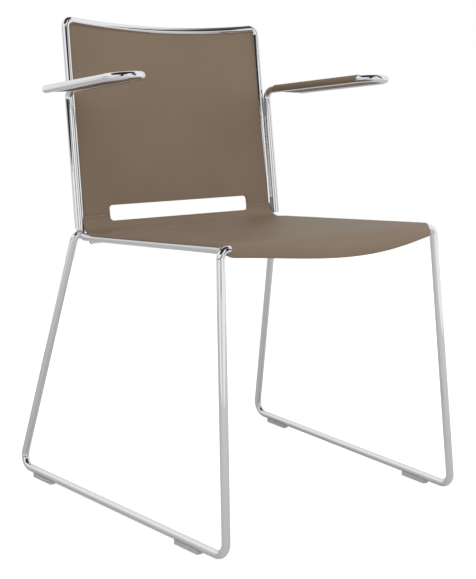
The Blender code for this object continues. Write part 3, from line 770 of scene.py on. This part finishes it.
def panelMesh():
    rows, columns = backForm["rows"], backForm["columns"]
    low = seamHeight + backForm["seamGap"] / 2
    rounding = backForm["edgeRound"]
    thick = backForm["thickness"]

    def place(column, row, inset, depth):
        share = column / columns
        top = topRodPoint(share) - backUp * (backForm["edgeInset"] + inset)
        height = between(low + inset, top.z, row / rows)
        half = backPoint(height).x - backForm["edgeInset"] - inset
        rise = (height - low) / (backTop.z - low)
        hollow = frameRods["topHollow"] * 4 * share * (1 - share) * rise
        point = backPoint(height, 0, panelOffset(height) - depth - hollow)
        point.x = between(-half, half, share)
        return point

    stride = columns + 1
    border = [(column, 0) for column in range(stride)]
    border += [(columns, row) for row in range(1, rows + 1)]
    border += [(column, rows) for column in reversed(range(columns))]
    border += [(0, row) for row in reversed(range(rows))]  # ends where it starts
    verts = []
    faces = []
    loops = []
    for depth in (0, thick):
        start = len(verts)
        for row in range(rows + 1):
            verts += [place(column, row, rounding, depth) for column in range(stride)]
        grid = [list(range(first, first + stride)) for first in range(start, len(verts), stride)]
        for first, second in zip(grid, grid[1:]):
            stitch(faces, first, second)
        loops.append([grid[row][column] for column, row in border])
    edge = quarterRound(rounding, rounding, backForm["edgeSteps"])[1:]
    edge += [(inset, thick - depth) for inset, depth in reversed(edge)]
    for number, (inset, depth) in enumerate(edge):
        start = len(verts)
        verts += [place(column, row, inset, depth) for column, row in border[:-1]]
        loops.insert(number + 1, list(range(start, len(verts))) + [start])
    for first, second in zip(loops, loops[1:]):
        stitch(faces, first, second)
    return faceOutwards(newObject("backPanel", verts, faces))


def slotCutter():
    middle = backHeight + lumbarSlot["bottomRise"] + lumbarSlot["height"] / 2
    halfWidth = backHalfWidth - lumbarSlot["sideMargin"]
    halfHeight = lumbarSlot["height"] / backUp.z / 2
    corner = lumbarSlot["corner"]
    outline = []
    for turn, (sideX, sideY) in enumerate(((1, 1), (-1, 1), (-1, -1), (1, -1))):
        for step in range(lumbarSlot["cornerSteps"] + 1):
            angle = math.pi / 2 * (turn + step / lumbarSlot["cornerSteps"])
            outline.append(sideways * (sideX * (halfWidth - corner) + corner * math.cos(angle))
                           + backUp * (sideY * (halfHeight - corner) + corner * math.sin(angle)))
    centre = backPoint(middle, 0)
    return ringPiece("slotCutter", [[centre + point + backNormal * depth for point in outline]
                                    for depth in (-lumbarSlot["cutReach"], lumbarSlot["cutReach"])])


def cutSlot(thing, cutter):
    cut = thing.modifiers.new("cut the lumbar slot", "BOOLEAN")
    cut.operation = "DIFFERENCE"
    cut.solver = "EXACT"
    cut.object = cutter
    settle(thing)
    soften = thing.modifiers.new("soften cut edges", "BEVEL")
    soften.width = lumbarSlot["edgeRound"]
    soften.segments = lumbarSlot["edgeSegments"]
    soften.limit_method = "ANGLE"
    soften.angle_limit = math.radians(lumbarSlot["edgeAngle"])
    return settle(thing)


slot = slotCutter()
seat = finishPiece(cutSlot(seatMesh(), slot), plastic, ["seat_shell"],
                   sharpDegrees=30)
back = finishPiece(cutSlot(panelMesh(), slot), plastic, ["back_panel"],
                   sharpDegrees=30)
bpy.data.objects.remove(slot)
print("seat and back made:", len(seat.data.polygons), len(back.data.polygons))

padForm = {
    "rearSetback": 0.003,
    "frontOverrun": 0.0045,
    "height": 0.0156,
    "depth": 0.0045,  # below the strands' axes: the rods show under the pad
    "flankWall": 0.0013,
    "outerHeight": 0.012,
    "outerInsetShare": 0.3,  # how much of the end's rounding shows at the outer strand
    "crown": 0.0004,
    "endRound": 0.0022,
    "stations": 40,
    "endSteps": 6,
    "noseSteps": 24,
    "faceSteps": 10,
}


def padSection(span, inset):
    # x runs out from the inner strand's axis, z up
    innerHalf = padForm["height"] / 2 - inset
    outerHalf = padForm["outerHeight"] / 2 - inset
    nose = frameRods["radius"] + padForm["flankWall"] - inset
    end = span - frameRods["radius"] / 2 - inset * padForm["outerInsetShare"]
    points = []
    for step in range(padForm["noseSteps"] + 1):
        angle = math.pi / 2 + math.pi * step / padForm["noseSteps"]
        points.append((nose * math.cos(angle), innerHalf * math.sin(angle)))
    for step in range(1, padForm["faceSteps"] + 1):
        share = step / padForm["faceSteps"]
        points.append((end * share, -between(innerHalf, outerHalf, share)))
    for step in range(padForm["faceSteps"]):
        share = 1 - step / padForm["faceSteps"]
        rise = padForm["crown"] * 4 * share * (1 - share)
        points.append((end * share, between(innerHalf, outerHalf, share) + rise))
    return [(x, max(z, inset - padForm["depth"])) for x, z in points]


def padRings(side):
    rearY = frameRods["railRearY"] - padForm["rearSetback"]
    frontY = frameRods["railRearY"] - armLoop["loopReach"] - padForm["frontOverrun"]
    rounding = padForm["endRound"]
    end = quarterRound(rounding, rounding, padForm["endSteps"])
    stations = [(rearY - back, inset) for inset, back in end]
    for step in range(1, padForm["stations"]):
        share = step / padForm["stations"]
        stations.append((between(rearY - rounding, frontY + rounding, share), 0))
    stations += [(frontY + back, inset) for inset, back in reversed(end)]
    rings = []
    for y, inset in stations:
        inner = lineAtY(*armStrands["inner"], y)
        outer = lineAtY(*armStrands["outer"], y)
        span = outer.x - inner.x
        rings.append([Vector((side * (inner.x + x), y,
                              between(inner.z, outer.z, max(0, x / span)) + z))
                      for x, z in padSection(span, inset)])
    return rings


for side, word in ((-1, "left"), (1, "right")):
    finishPiece(ringPiece("armPad_" + word, padRings(side)), plastic,
                ["arm_pad_" + word], sharpDegrees=50)
print("arm pads made")

# One tab, screw, boss and glide each, copied to its places.
fixing = {
    "tabSize": 0.022,
    "tabThickness": 0.0025,
    "tabCorner": 0.004,
    "tabBurr": 0.0003,
    "holeRadius": 0.0024,
    "seatTabShare": 0.5634,  # of the back's half width
    "frontTabDrop": 0.0022,
    "backTabShares": (0.259, 0.804),  # of the back's height
    "backBossHeight": 0.003,
    "bossRadius": 0.0055,
    "bossStraight": 0.45,  # of its height, below the flare
    "bossFlare": 0.0011,
    "bossSink": 0.0006,  # into the plastic
    "bossSteps": 6,
    "bossHoleBurr": (0.0002, 0.05),  # outwards, and up in shares of the boss's height
    "bossRimBurr": (0.0003, 0.08),
    "shankRadius": 0.002,
    "shankReach": 0.0075,
    "headRadius": 0.004,
    "headHeight": 0.0024,
    "headFlat": 0.62,  # of its radius, inside the crown
    "headCrown": 0.0016,
    "headSteps": 8,
    "headBurr": 0.0002,
    "socketFlat": 0.0016,  # from the middle to one flat of the hexagon
    "socketDepth": 0.0012,
    "socketBurr": 0.00015,
    "socketFloor": 0.94,  # of its width, inside the rounding at its foot
    "socketRound": 0.0001,
    "socketTip": 0.1,  # of its width, and the drill's cone above the floor
    "socketCone": 0.0003,
    "angles": 48,
}

glideForm = {
    "length": 0.056,
    "width": 0.012,
    "grooveRadius": 0.0069,
    "frontSetback": 0.086,
    "rearSetback": 0.072,
    "endRound": 0.002,
    "footRound": 0.0009,
    "stations": 12,
    "endSteps": 6,
    "footSteps": 5,
    "grooveSteps": 18,
}


def circleRing(radius, z, flatness=0.0):
    # flatness 1 turns the circle into the hexagon whose flats are radius from the middle
    ring = []
    for step in range(fixing["angles"]):
        angle = 2 * math.pi * step / fixing["angles"]
        turned = (angle + math.pi / 6) % (math.pi / 3) - math.pi / 6
        reach = radius / between(1.0, math.cos(turned), flatness)
        ring.append(Vector((reach * math.cos(angle), reach * math.sin(angle), z)))
    return ring


def tabRing(inset, z):
    half = fixing["tabSize"] / 2 - inset
    corner = fixing["tabCorner"] - inset
    ring = []
    for step in range(fixing["angles"]):
        angle = 2 * math.pi * step / fixing["angles"]
        along = Vector((math.cos(angle), math.sin(angle), 0))
        point = along * (half / max(abs(along.x), abs(along.y)))
        if min(abs(point.x), abs(point.y)) > half - corner:
            centre = Vector([math.copysign(half - corner, number) for number in point.xy] + [0])
            reach = along.dot(centre)
            point = along * (reach + math.sqrt(reach ** 2 - centre.length_squared + corner ** 2))
        ring.append(Vector((point.x, point.y, z)))
    return ring


def makeTab():
    half = fixing["tabThickness"] / 2
    burr = fixing["tabBurr"]
    hole = fixing["holeRadius"]
    rings = []
    for face in (1, -1):
        edge = [circleRing(hole, face * (half - burr)), circleRing(hole + burr, face * half),
                tabRing(burr, face * half), tabRing(0, face * (half - burr))]
        rings += edge if face > 0 else list(reversed(edge))
    return ringPiece("tabModel", rings, True)


def makeScrew():
    # button head with a hexagon socket; the head's underside lies on the tab
    base = -(fixing["tabThickness"] / 2 + frameRods["gap"])
    face = base - fixing["headHeight"]
    floor = face + fixing["socketDepth"]
    flat = fixing["socketFlat"]
    burr = fixing["socketBurr"]
    head = fixing["headRadius"]
    shank = fixing["shankRadius"]
    rings = [circleRing(flat * fixing["socketTip"], floor + fixing["socketCone"]),
             circleRing(flat * fixing["socketFloor"], floor, 1.0),
             circleRing(flat, floor - fixing["socketRound"], 1.0),
             circleRing(flat, face + burr, 1.0), circleRing(flat + burr, face, 1.0)]
    crown = quarterRound(head * (1 - fixing["headFlat"]), fixing["headCrown"], fixing["headSteps"])
    rings += [circleRing(head - inset, face + drop) for inset, drop in crown]
    rings += [circleRing(head, base - fixing["headBurr"]),
              circleRing(head - fixing["headBurr"], base),
              circleRing(shank, base), circleRing(shank, fixing["shankReach"])]
    return ringPiece("screwModel", rings)


def makeBoss():
    # one unit tall, to be stretched; it flares where it grows out of the plastic
    hole = fixing["holeRadius"]
    wall = fixing["bossRadius"]
    holeBurr, holeRise = fixing["bossHoleBurr"]
    rimBurr, rimRise = fixing["bossRimBurr"]
    rings = [circleRing(hole, 1.0), circleRing(hole, holeRise), circleRing(hole + holeBurr, 0.0),
             circleRing(wall - rimBurr, 0.0), circleRing(wall, rimRise)]
    flare = quarterRound(fixing["bossFlare"], 1 - fixing["bossStraight"], fixing["bossSteps"])
    rings += [circleRing(wall + outwards, 1.0 - drop) for outwards, drop in reversed(flare)]
    return ringPiece("bossModel", rings, True)


def makeGlide():
    halfLength = glideForm["length"] / 2
    straight = halfLength - glideForm["endRound"]
    end = quarterRound(glideForm["endRound"], glideForm["endRound"], glideForm["endSteps"])
    stations = [(halfLength - back, inset) for inset, back in end]
    stations += [(straight * (1 - 2 * step / glideForm["stations"]), 0.0)
                 for step in range(1, glideForm["stations"])]
    stations += [(back - halfLength, inset) for inset, back in reversed(end)]
    edge = quarterRound(glideForm["footRound"], glideForm["footRound"], glideForm["footSteps"])
    rings = []
    for y, inset in stations:
        half = glideForm["width"] / 2 - inset
        foot = [(half - inwards, rise) for inwards, rise in edge]
        line = list(foot)
        for step in range(glideForm["grooveSteps"] + 1):
            x = half * (1 - 2 * step / glideForm["grooveSteps"])
            groove = math.sqrt(glideForm["grooveRadius"] ** 2 - x ** 2)
            line.append((x, frameRods["runnerHeight"] - groove))
        line += [(-x, z) for x, z in reversed(foot)]
        rings.append([Vector((x, y, z)) for x, z in line])
    return ringPiece("glideModel", rings)


def seatTabPlaces():
    reach = frameRods["radius"] + frameRods["gap"] + fixing["tabSize"] / 2
    frontZ = frameRods["seatRodHeight"] - fixing["frontTabDrop"]
    rearZ = railPoint(crossY).z - frameRods["crossDrop"]
    x = backHalfWidth * fixing["seatTabShare"]
    return [Vector((side * x, y, z))
            for y, z in ((railFront.y + reach, frontZ), (crossY - reach, rearZ))
            for side in (-1, 1)]


def backTabPlaces():
    gap = frameRods["gap"]
    places = []
    for share in fixing["backTabShares"]:
        axis = backPoint(backHeight + frameRods["backRise"] * share)
        face = panelOffset(axis.z) - backForm["thickness"] - fixing["backBossHeight"] - gap
        reach = math.sqrt(max(0.0, (frameRods["radius"] + gap) ** 2 - face ** 2))
        x = axis.x - reach - gap - fixing["tabSize"] / 2
        offset = face - fixing["tabThickness"] / 2
        places += [backPoint(axis.z, side * x, offset) for side in (-1, 1)]
    return places


tabPlaces = [(place, upright, sideways, 1.0) for place in seatTabPlaces()]
tabPlaces += [(place, backNormal, sideways, 1.0) for place in backTabPlaces()]
tabNodes = [start + "_" + word for start in
            ("seat_tab_front", "seat_tab_rear", "back_tab_lower", "back_tab_upper")
            for word in ("left", "right")]
screwNodes = [name.replace("_tab_", "_screw_") for name in tabNodes]
placedCopies("fixingTabs", makeTab(), tabPlaces, zinc, tabNodes)
placedCopies("fixingScrews", makeScrew(), tabPlaces, zinc, screwNodes)

bossPlaces = []
for place, axis, across, stretch in tabPlaces:
    start = fixing["tabThickness"] / 2 + frameRods["gap"]
    height = fixing["backBossHeight"]
    if axis is upright:
        height = seatHeight(place.y) - seatForm["thickness"] - place.z - start
    bossPlaces.append((place + axis * start, axis, across, height + fixing["bossSink"]))
placedCopies("screwBosses", makeBoss(), bossPlaces, plastic, [])

glidePlaces = []
for side in (-1, 1):
    front, rear = mirrored(frontFoot, side), mirrored(rearFoot, side)
    across = (rear - front).cross(upright)
    for y in (front.y + glideForm["frontSetback"], rear.y - glideForm["rearSetback"]):
        place = lineAtY(front, rear, y)
        place.z = 0
        glidePlaces.append((place, upright, across, 1.0))
glideNodes = ["glide_" + end + "_" + word for end in ("front", "rear")
              for word in ("left", "right")]
placedCopies("runnerGlides", makeGlide(), glidePlaces, nylon, glideNodes,
             sharpDegrees=50)
print("fixings and glides made")

weldBead = {
    "radius": 0.0007,
    "seamRadius": 0.0014,  # the long seams between arm post and upright
    "pitch": 0.0015,  # from one ripple to the next
    "ripple": 0.12,
    "tip": 0.02,  # of the bead's thickness, where it ends
    "step": 0.00024,
    "fewestSteps": 8,
    "fewestRipples": 3,
    "sides": 12,
    "loopSteps": 96,
    "standOff": 0.0002,
    "lowSeam": (0.002, 0.030),  # above the post's foot
    "highSeam": (-0.048, -0.022),  # from the post's top
    "tabMargin": 0.003,
    "tabReach": 0.0006,
    "tabDrop": 0.0007,
}


def evenPath(points, step):
    # the same path in equal steps, and its length
    lengths = [0.0]
    for first, second in zip(points, points[1:]):
        lengths.append(lengths[-1] + (second - first).length)
    count = max(weldBead["fewestSteps"], round(lengths[-1] / step))
    even = []
    index = 0
    for number in range(count + 1):
        target = lengths[-1] * number / count
        while index < len(points) - 2 and lengths[index + 1] < target:
            index += 1
        share = (target - lengths[index]) / (lengths[index + 1] - lengths[index])
        even.append(between(points[index], points[index + 1], share))
    return even, lengths[-1]


def saddleLoop(branchPoint, branchAlong, mainPoint, mainAlong):
    # where a rod that comes along branchAlong meets the skin of another rod
    radius = frameRods["radius"] + weldBead["standOff"]
    first = branchAlong.cross(mainAlong).normalized()
    second = branchAlong.cross(first)
    across = branchAlong - mainAlong * branchAlong.dot(mainAlong)
    loop = []
    for step in range(weldBead["loopSteps"] + 1):
        angle = 2 * math.pi * step / weldBead["loopSteps"]
        point = branchPoint + (first * math.cos(angle) + second * math.sin(angle)) * radius
        away = point - mainPoint
        away -= mainAlong * away.dot(mainAlong)
        # the nearer root of |away + across * reach| = radius
        a = across.length_squared
        b = away.dot(across)
        c = away.length_squared - radius ** 2
        reach = (-b - math.sqrt(max(0.0, b * b - a * c))) / a
        loop.append(point + branchAlong * reach)
    return loop


def beadPiece(name, paths, radius, looped):
    # beads along the paths and along their mirror images
    lines = []
    swells = []
    for path in paths + [[mirrored(point, -1) for point in path] for path in paths]:
        line, length = evenPath(path, weldBead["step"])
        ripples = max(weldBead["fewestRipples"], round(length / weldBead["pitch"]))
        last = len(line) - 1
        if looped:
            line = line[:-1]
        for index in range(len(line)):
            swell = 1 + weldBead["ripple"] * math.sin(2 * math.pi * ripples * index / last)
            near = min(index, last - index) * length / last / radius
            if not looped and near < 1:
                swell *= between(weldBead["tip"], 1, math.sqrt(max(0.0, 1 - (1 - near) ** 2)))
            swells.append(swell)
        lines.append(line)
    thing = rodPiece(name, lines, radius, swells, weldBead["sides"], looped)
    finishPiece(thing, weld, [], sharpDegrees=80)


bend = roundedPath([(railFront, 0), (backBottom, frameRods["frameBend"]), (backTop, 0)])[1:-1]
middle = len(bend) // 2
bendAlong = (bend[middle + 1] - bend[middle - 1]).normalized()
beadPiece("jointBeads", [
    saddleLoop(crossEnd, sideways, railPoint(crossY), (railFront - backBottom).normalized()),
    saddleLoop(rearLegTop, -sideways, bend[middle], bendAlong),
], weldBead["radius"], True)

seamStand = frameRods["radius"] + weldBead["seamRadius"]
valley = math.sqrt(seamStand ** 2 - (postStand.length / 2) ** 2)
seams = []
for start, ends in ((postFootHeight, weldBead["lowSeam"]), (postTopHeight, weldBead["highSeam"])):
    for face in (-1, 1):
        shift = postStand / 2 + postStand.cross(backUp).normalized() * valley * face
        seams.append([backPoint(start + end) + shift for end in ends])
beadPiece("postSeams", seams, weldBead["seamRadius"], False)

tabSeams = []
seamHalf = fixing["tabSize"] / 2 - weldBead["tabMargin"]
seamReach = fixing["tabSize"] / 2 + weldBead["tabReach"]
for place, axis, across, stretch in tabPlaces:
    if place.x < 0:
        continue
    half, reach = backUp * seamHalf, sideways * seamReach
    if axis is upright:
        half, reach = sideways * seamHalf, Vector((0, math.copysign(seamReach, place.y), 0))
    edge = place + reach - axis * (fixing["tabThickness"] / 2 + weldBead["tabDrop"])
    tabSeams.append([edge - half, edge + half])
beadPiece("tabSeams", tabSeams, weldBead["radius"], False)
print("weld beads made")

floorForm = {
    "size": 5.0,
    "colour": "#d8d8d8",
    "roughness": 0.9,
    "glow": 0.66,  # added for the camera, so that the lit floor is just white
}


def seenDirectly(tree, path):
    # 1 for the camera's rays, also through the glides' nylon
    return addNode(tree, "ShaderNodeMath", {"operation": "MAXIMUM"}, {
        0: path.outputs["Is Camera Ray"], 1: path.outputs["Is Transmission Ray"]})


def makeFloor():
    material, tree, shader = newMaterial("studioFloor")
    glow = addNode(tree, "ShaderNodeMath", {"operation": "MULTIPLY"}, {
        0: seenDirectly(tree, addNode(tree, "ShaderNodeLightPath")), 1: floorForm["glow"]})
    setInputs(tree, shader, {
        "Base Color": hexColour(floorForm["colour"]), "Roughness": floorForm["roughness"],
        "Specular IOR Level": 0.0, "Emission Color": hexColour("#ffffff"),
        "Emission Strength": glow})
    half = floorForm["size"] / 2
    corners = [(-half, -half, 0), (half, -half, 0), (half, half, 0), (-half, half, 0)]
    thing = newObject("floor", corners, [(0, 1, 2, 3)])
    thing.data.materials.append(material)


# The photograph's camera, fitted to points that were picked out in it.
photoView = {
    "place": (-1.15908, -1.45587, 0.66632),
    "azimuth": -38.448,  # degrees, 0 looks along +Y
    "elevation": 9.953,  # degrees above the horizon
    "focalPixels": 1108.3,
    "framePixels": (476, 579),
    "sensorWidth": 36.0,
}


def makeCamera():
    azimuth = math.radians(photoView["azimuth"])
    elevation = math.radians(photoView["elevation"])
    right = Vector((math.cos(azimuth), math.sin(azimuth), 0))
    backwards = Vector((math.sin(azimuth) * math.cos(elevation),
                        -math.cos(azimuth) * math.cos(elevation), math.sin(elevation)))
    lens = bpy.data.cameras.new("camera")
    lens.sensor_fit = "AUTO"
    lens.sensor_width = photoView["sensorWidth"]
    lens.lens = photoView["focalPixels"] * photoView["sensorWidth"] / max(photoView["framePixels"])
    camera = bpy.data.objects.new("camera", lens)
    turn = Matrix((right, backwards.cross(right), backwards)).transposed().to_4x4()
    camera.matrix_world = Matrix.Translation(photoView["place"]) @ turn
    bpy.context.scene.collection.objects.link(camera)
    bpy.context.scene.camera = camera


# What the chrome mirrors. Seen from the chair and turned to the camera, across runs to the
# right, depth away from the camera and height up, each from -1 to 1. Tilted is the height
# above a line that climbs to the right.
studioForm = {
    "ambient": 0.60,  # what plain surfaces get from all round
    "dark": 0.03,
    "leftGrey": 0.66,
    "leftFade": (-0.98, -0.80),
    "backGrey": 0.85,
    "backFade": (0.9, 0.4),
    "tilt": 0.162,
    "aheadFade": (0.0, -0.30),
    "rightFade": (0.5, 0.6),
    # the dark between the soft boxes: where, how strong, how softly it ends and its limits
    "gaps": {
        "line": ("ahead", 1.0, 0.02, {"tilted": (0.180, 0.250)}),
        "corner": ("ahead", 1.0, 0.03, {"across": (-0.15, 0.55), "height": (0.245, 0.32)}),
        "front": ("ahead", 1.0, 0.03, {"across": (-0.02, 0.20), "height": (0.05, 0.94)}),
        "ceiling": ("ahead", 1.0, 0.03, {"across": (-0.62, 0.38), "height": (0.64, 0.90)}),
        "camera": ("ahead", 0.30, 0.08, {"across": (-0.40, 0.20), "height": (-0.14, 0.03)}),
        "right": ("right", 1.0, 0.04, {"depth": (-0.41, -0.20), "height": (0.02, 0.60)}),
        "rightTop": ("right", 1.0, 0.04, {"depth": (-0.34, 0.02), "height": (0.64, 0.86)}),
        "overhead": ("everywhere", 1.0, 0.04, {"height": (0.85, 1.10)}),
    },
}


def darkGaps(tree, axes, sides):
    # 0 where the studio is lit, up to 1 in the gaps
    gaps = 0.0
    for side, strength, softness, limits in studioForm["gaps"].values():
        gap = addNode(tree, "ShaderNodeMath", {"operation": "MULTIPLY"},
                      {0: sides[side], 1: strength})
        for axis, (low, high) in limits.items():
            for outside, inside in ((low - softness, low), (high + softness, high)):
                edge = addNode(tree, "ShaderNodeMapRange", {"interpolation_type": "SMOOTHSTEP"}, {
                    "Value": axes[axis], "From Min": outside, "From Max": inside})
                gap = addNode(tree, "ShaderNodeMath", {"operation": "MULTIPLY"}, {0: gap, 1: edge})
        gaps = addNode(tree, "ShaderNodeMath", {"operation": "MAXIMUM"}, {0: gaps, 1: gap})
    return gaps


def makeWorld():
    # The camera sees plain white, the chrome white walls that are greyer left and behind, with
    # dark gaps, and plain surfaces an even light.
    world = bpy.data.worlds.new("studio")
    world.use_nodes = True
    tree = world.node_tree
    tree.nodes.clear()
    turned = addNode(tree, "ShaderNodeVectorRotate", {"rotation_type": "Z_AXIS"}, {
        "Vector": addNode(tree, "ShaderNodeTexCoord").outputs["Generated"],
        "Angle": -math.radians(photoView["azimuth"])})
    across, depth, height = addNode(tree, "ShaderNodeSeparateXYZ", {}, {"Vector": turned}).outputs
    climb = addNode(tree, "ShaderNodeMath", {"operation": "MULTIPLY"},
                    {0: across, 1: studioForm["tilt"]})
    tilted = addNode(tree, "ShaderNodeMath", {"operation": "SUBTRACT"}, {0: height, 1: climb})
    ahead, right, leftWall, backWall = (
        addNode(tree, "ShaderNodeMapRange", {}, {
            "Value": axis, "From Min": fade[0], "From Max": fade[1], "To Min": start})
        for axis, fade, start in (
            (depth, studioForm["aheadFade"], 0.0), (across, studioForm["rightFade"], 0.0),
            (across, studioForm["leftFade"], studioForm["leftGrey"]),
            (depth, studioForm["backFade"], studioForm["backGrey"])))
    axes = {"across": across, "depth": depth, "height": height, "tilted": tilted}
    gaps = darkGaps(tree, axes, {"ahead": ahead, "right": right, "everywhere": 1.0})
    wall = addNode(tree, "ShaderNodeMath", {"operation": "MULTIPLY"}, {0: leftWall, 1: backWall})
    level = addNode(tree, "ShaderNodeMapRange", {}, {
        "Value": gaps, "To Min": wall, "To Max": studioForm["dark"]})
    path = addNode(tree, "ShaderNodeLightPath")
    mirror = addNode(tree, "ShaderNodeMix", {"data_type": "FLOAT"}, {
        "Factor": path.outputs["Is Glossy Ray"], "A": studioForm["ambient"], "B": level})
    strength = addNode(tree, "ShaderNodeMix", {"data_type": "FLOAT"}, {
        "Factor": seenDirectly(tree, path), "A": mirror, "B": 1.0})
    light = addNode(tree, "ShaderNodeBackground", {}, {
        "Color": hexColour("#ffffff"), "Strength": strength})
    addNode(tree, "ShaderNodeOutputWorld", {}, {"Surface": light})
    bpy.context.scene.world = world


lampTarget = Vector((0, 0, 0.45))
lampForms = {
    "keyLight": {"place": Vector((-2.2, -2.4, 3.0)), "size": 3.4, "watts": 55},
    "fillLight": {"place": Vector((2.6, -1.6, 2.2)), "size": 3.2, "watts": 40},
}


def makeLights():
    for name, form in lampForms.items():
        light = bpy.data.lights.new(name, "AREA")
        light.size = form["size"]
        light.energy = form["watts"]
        lamp = bpy.data.objects.new(name, light)
        lamp.location = form["place"]
        lamp.rotation_euler = (lampTarget - form["place"]).to_track_quat("-Z", "Y").to_euler()
        lamp.visible_glossy = False  # the chrome mirrors the studio, not the lamps
        bpy.context.scene.collection.objects.link(lamp)


makeFloor()
makeCamera()
makeWorld()
makeLights()
bpy.context.scene.view_settings.view_transform = "Standard"
print("stage, camera and lights made")

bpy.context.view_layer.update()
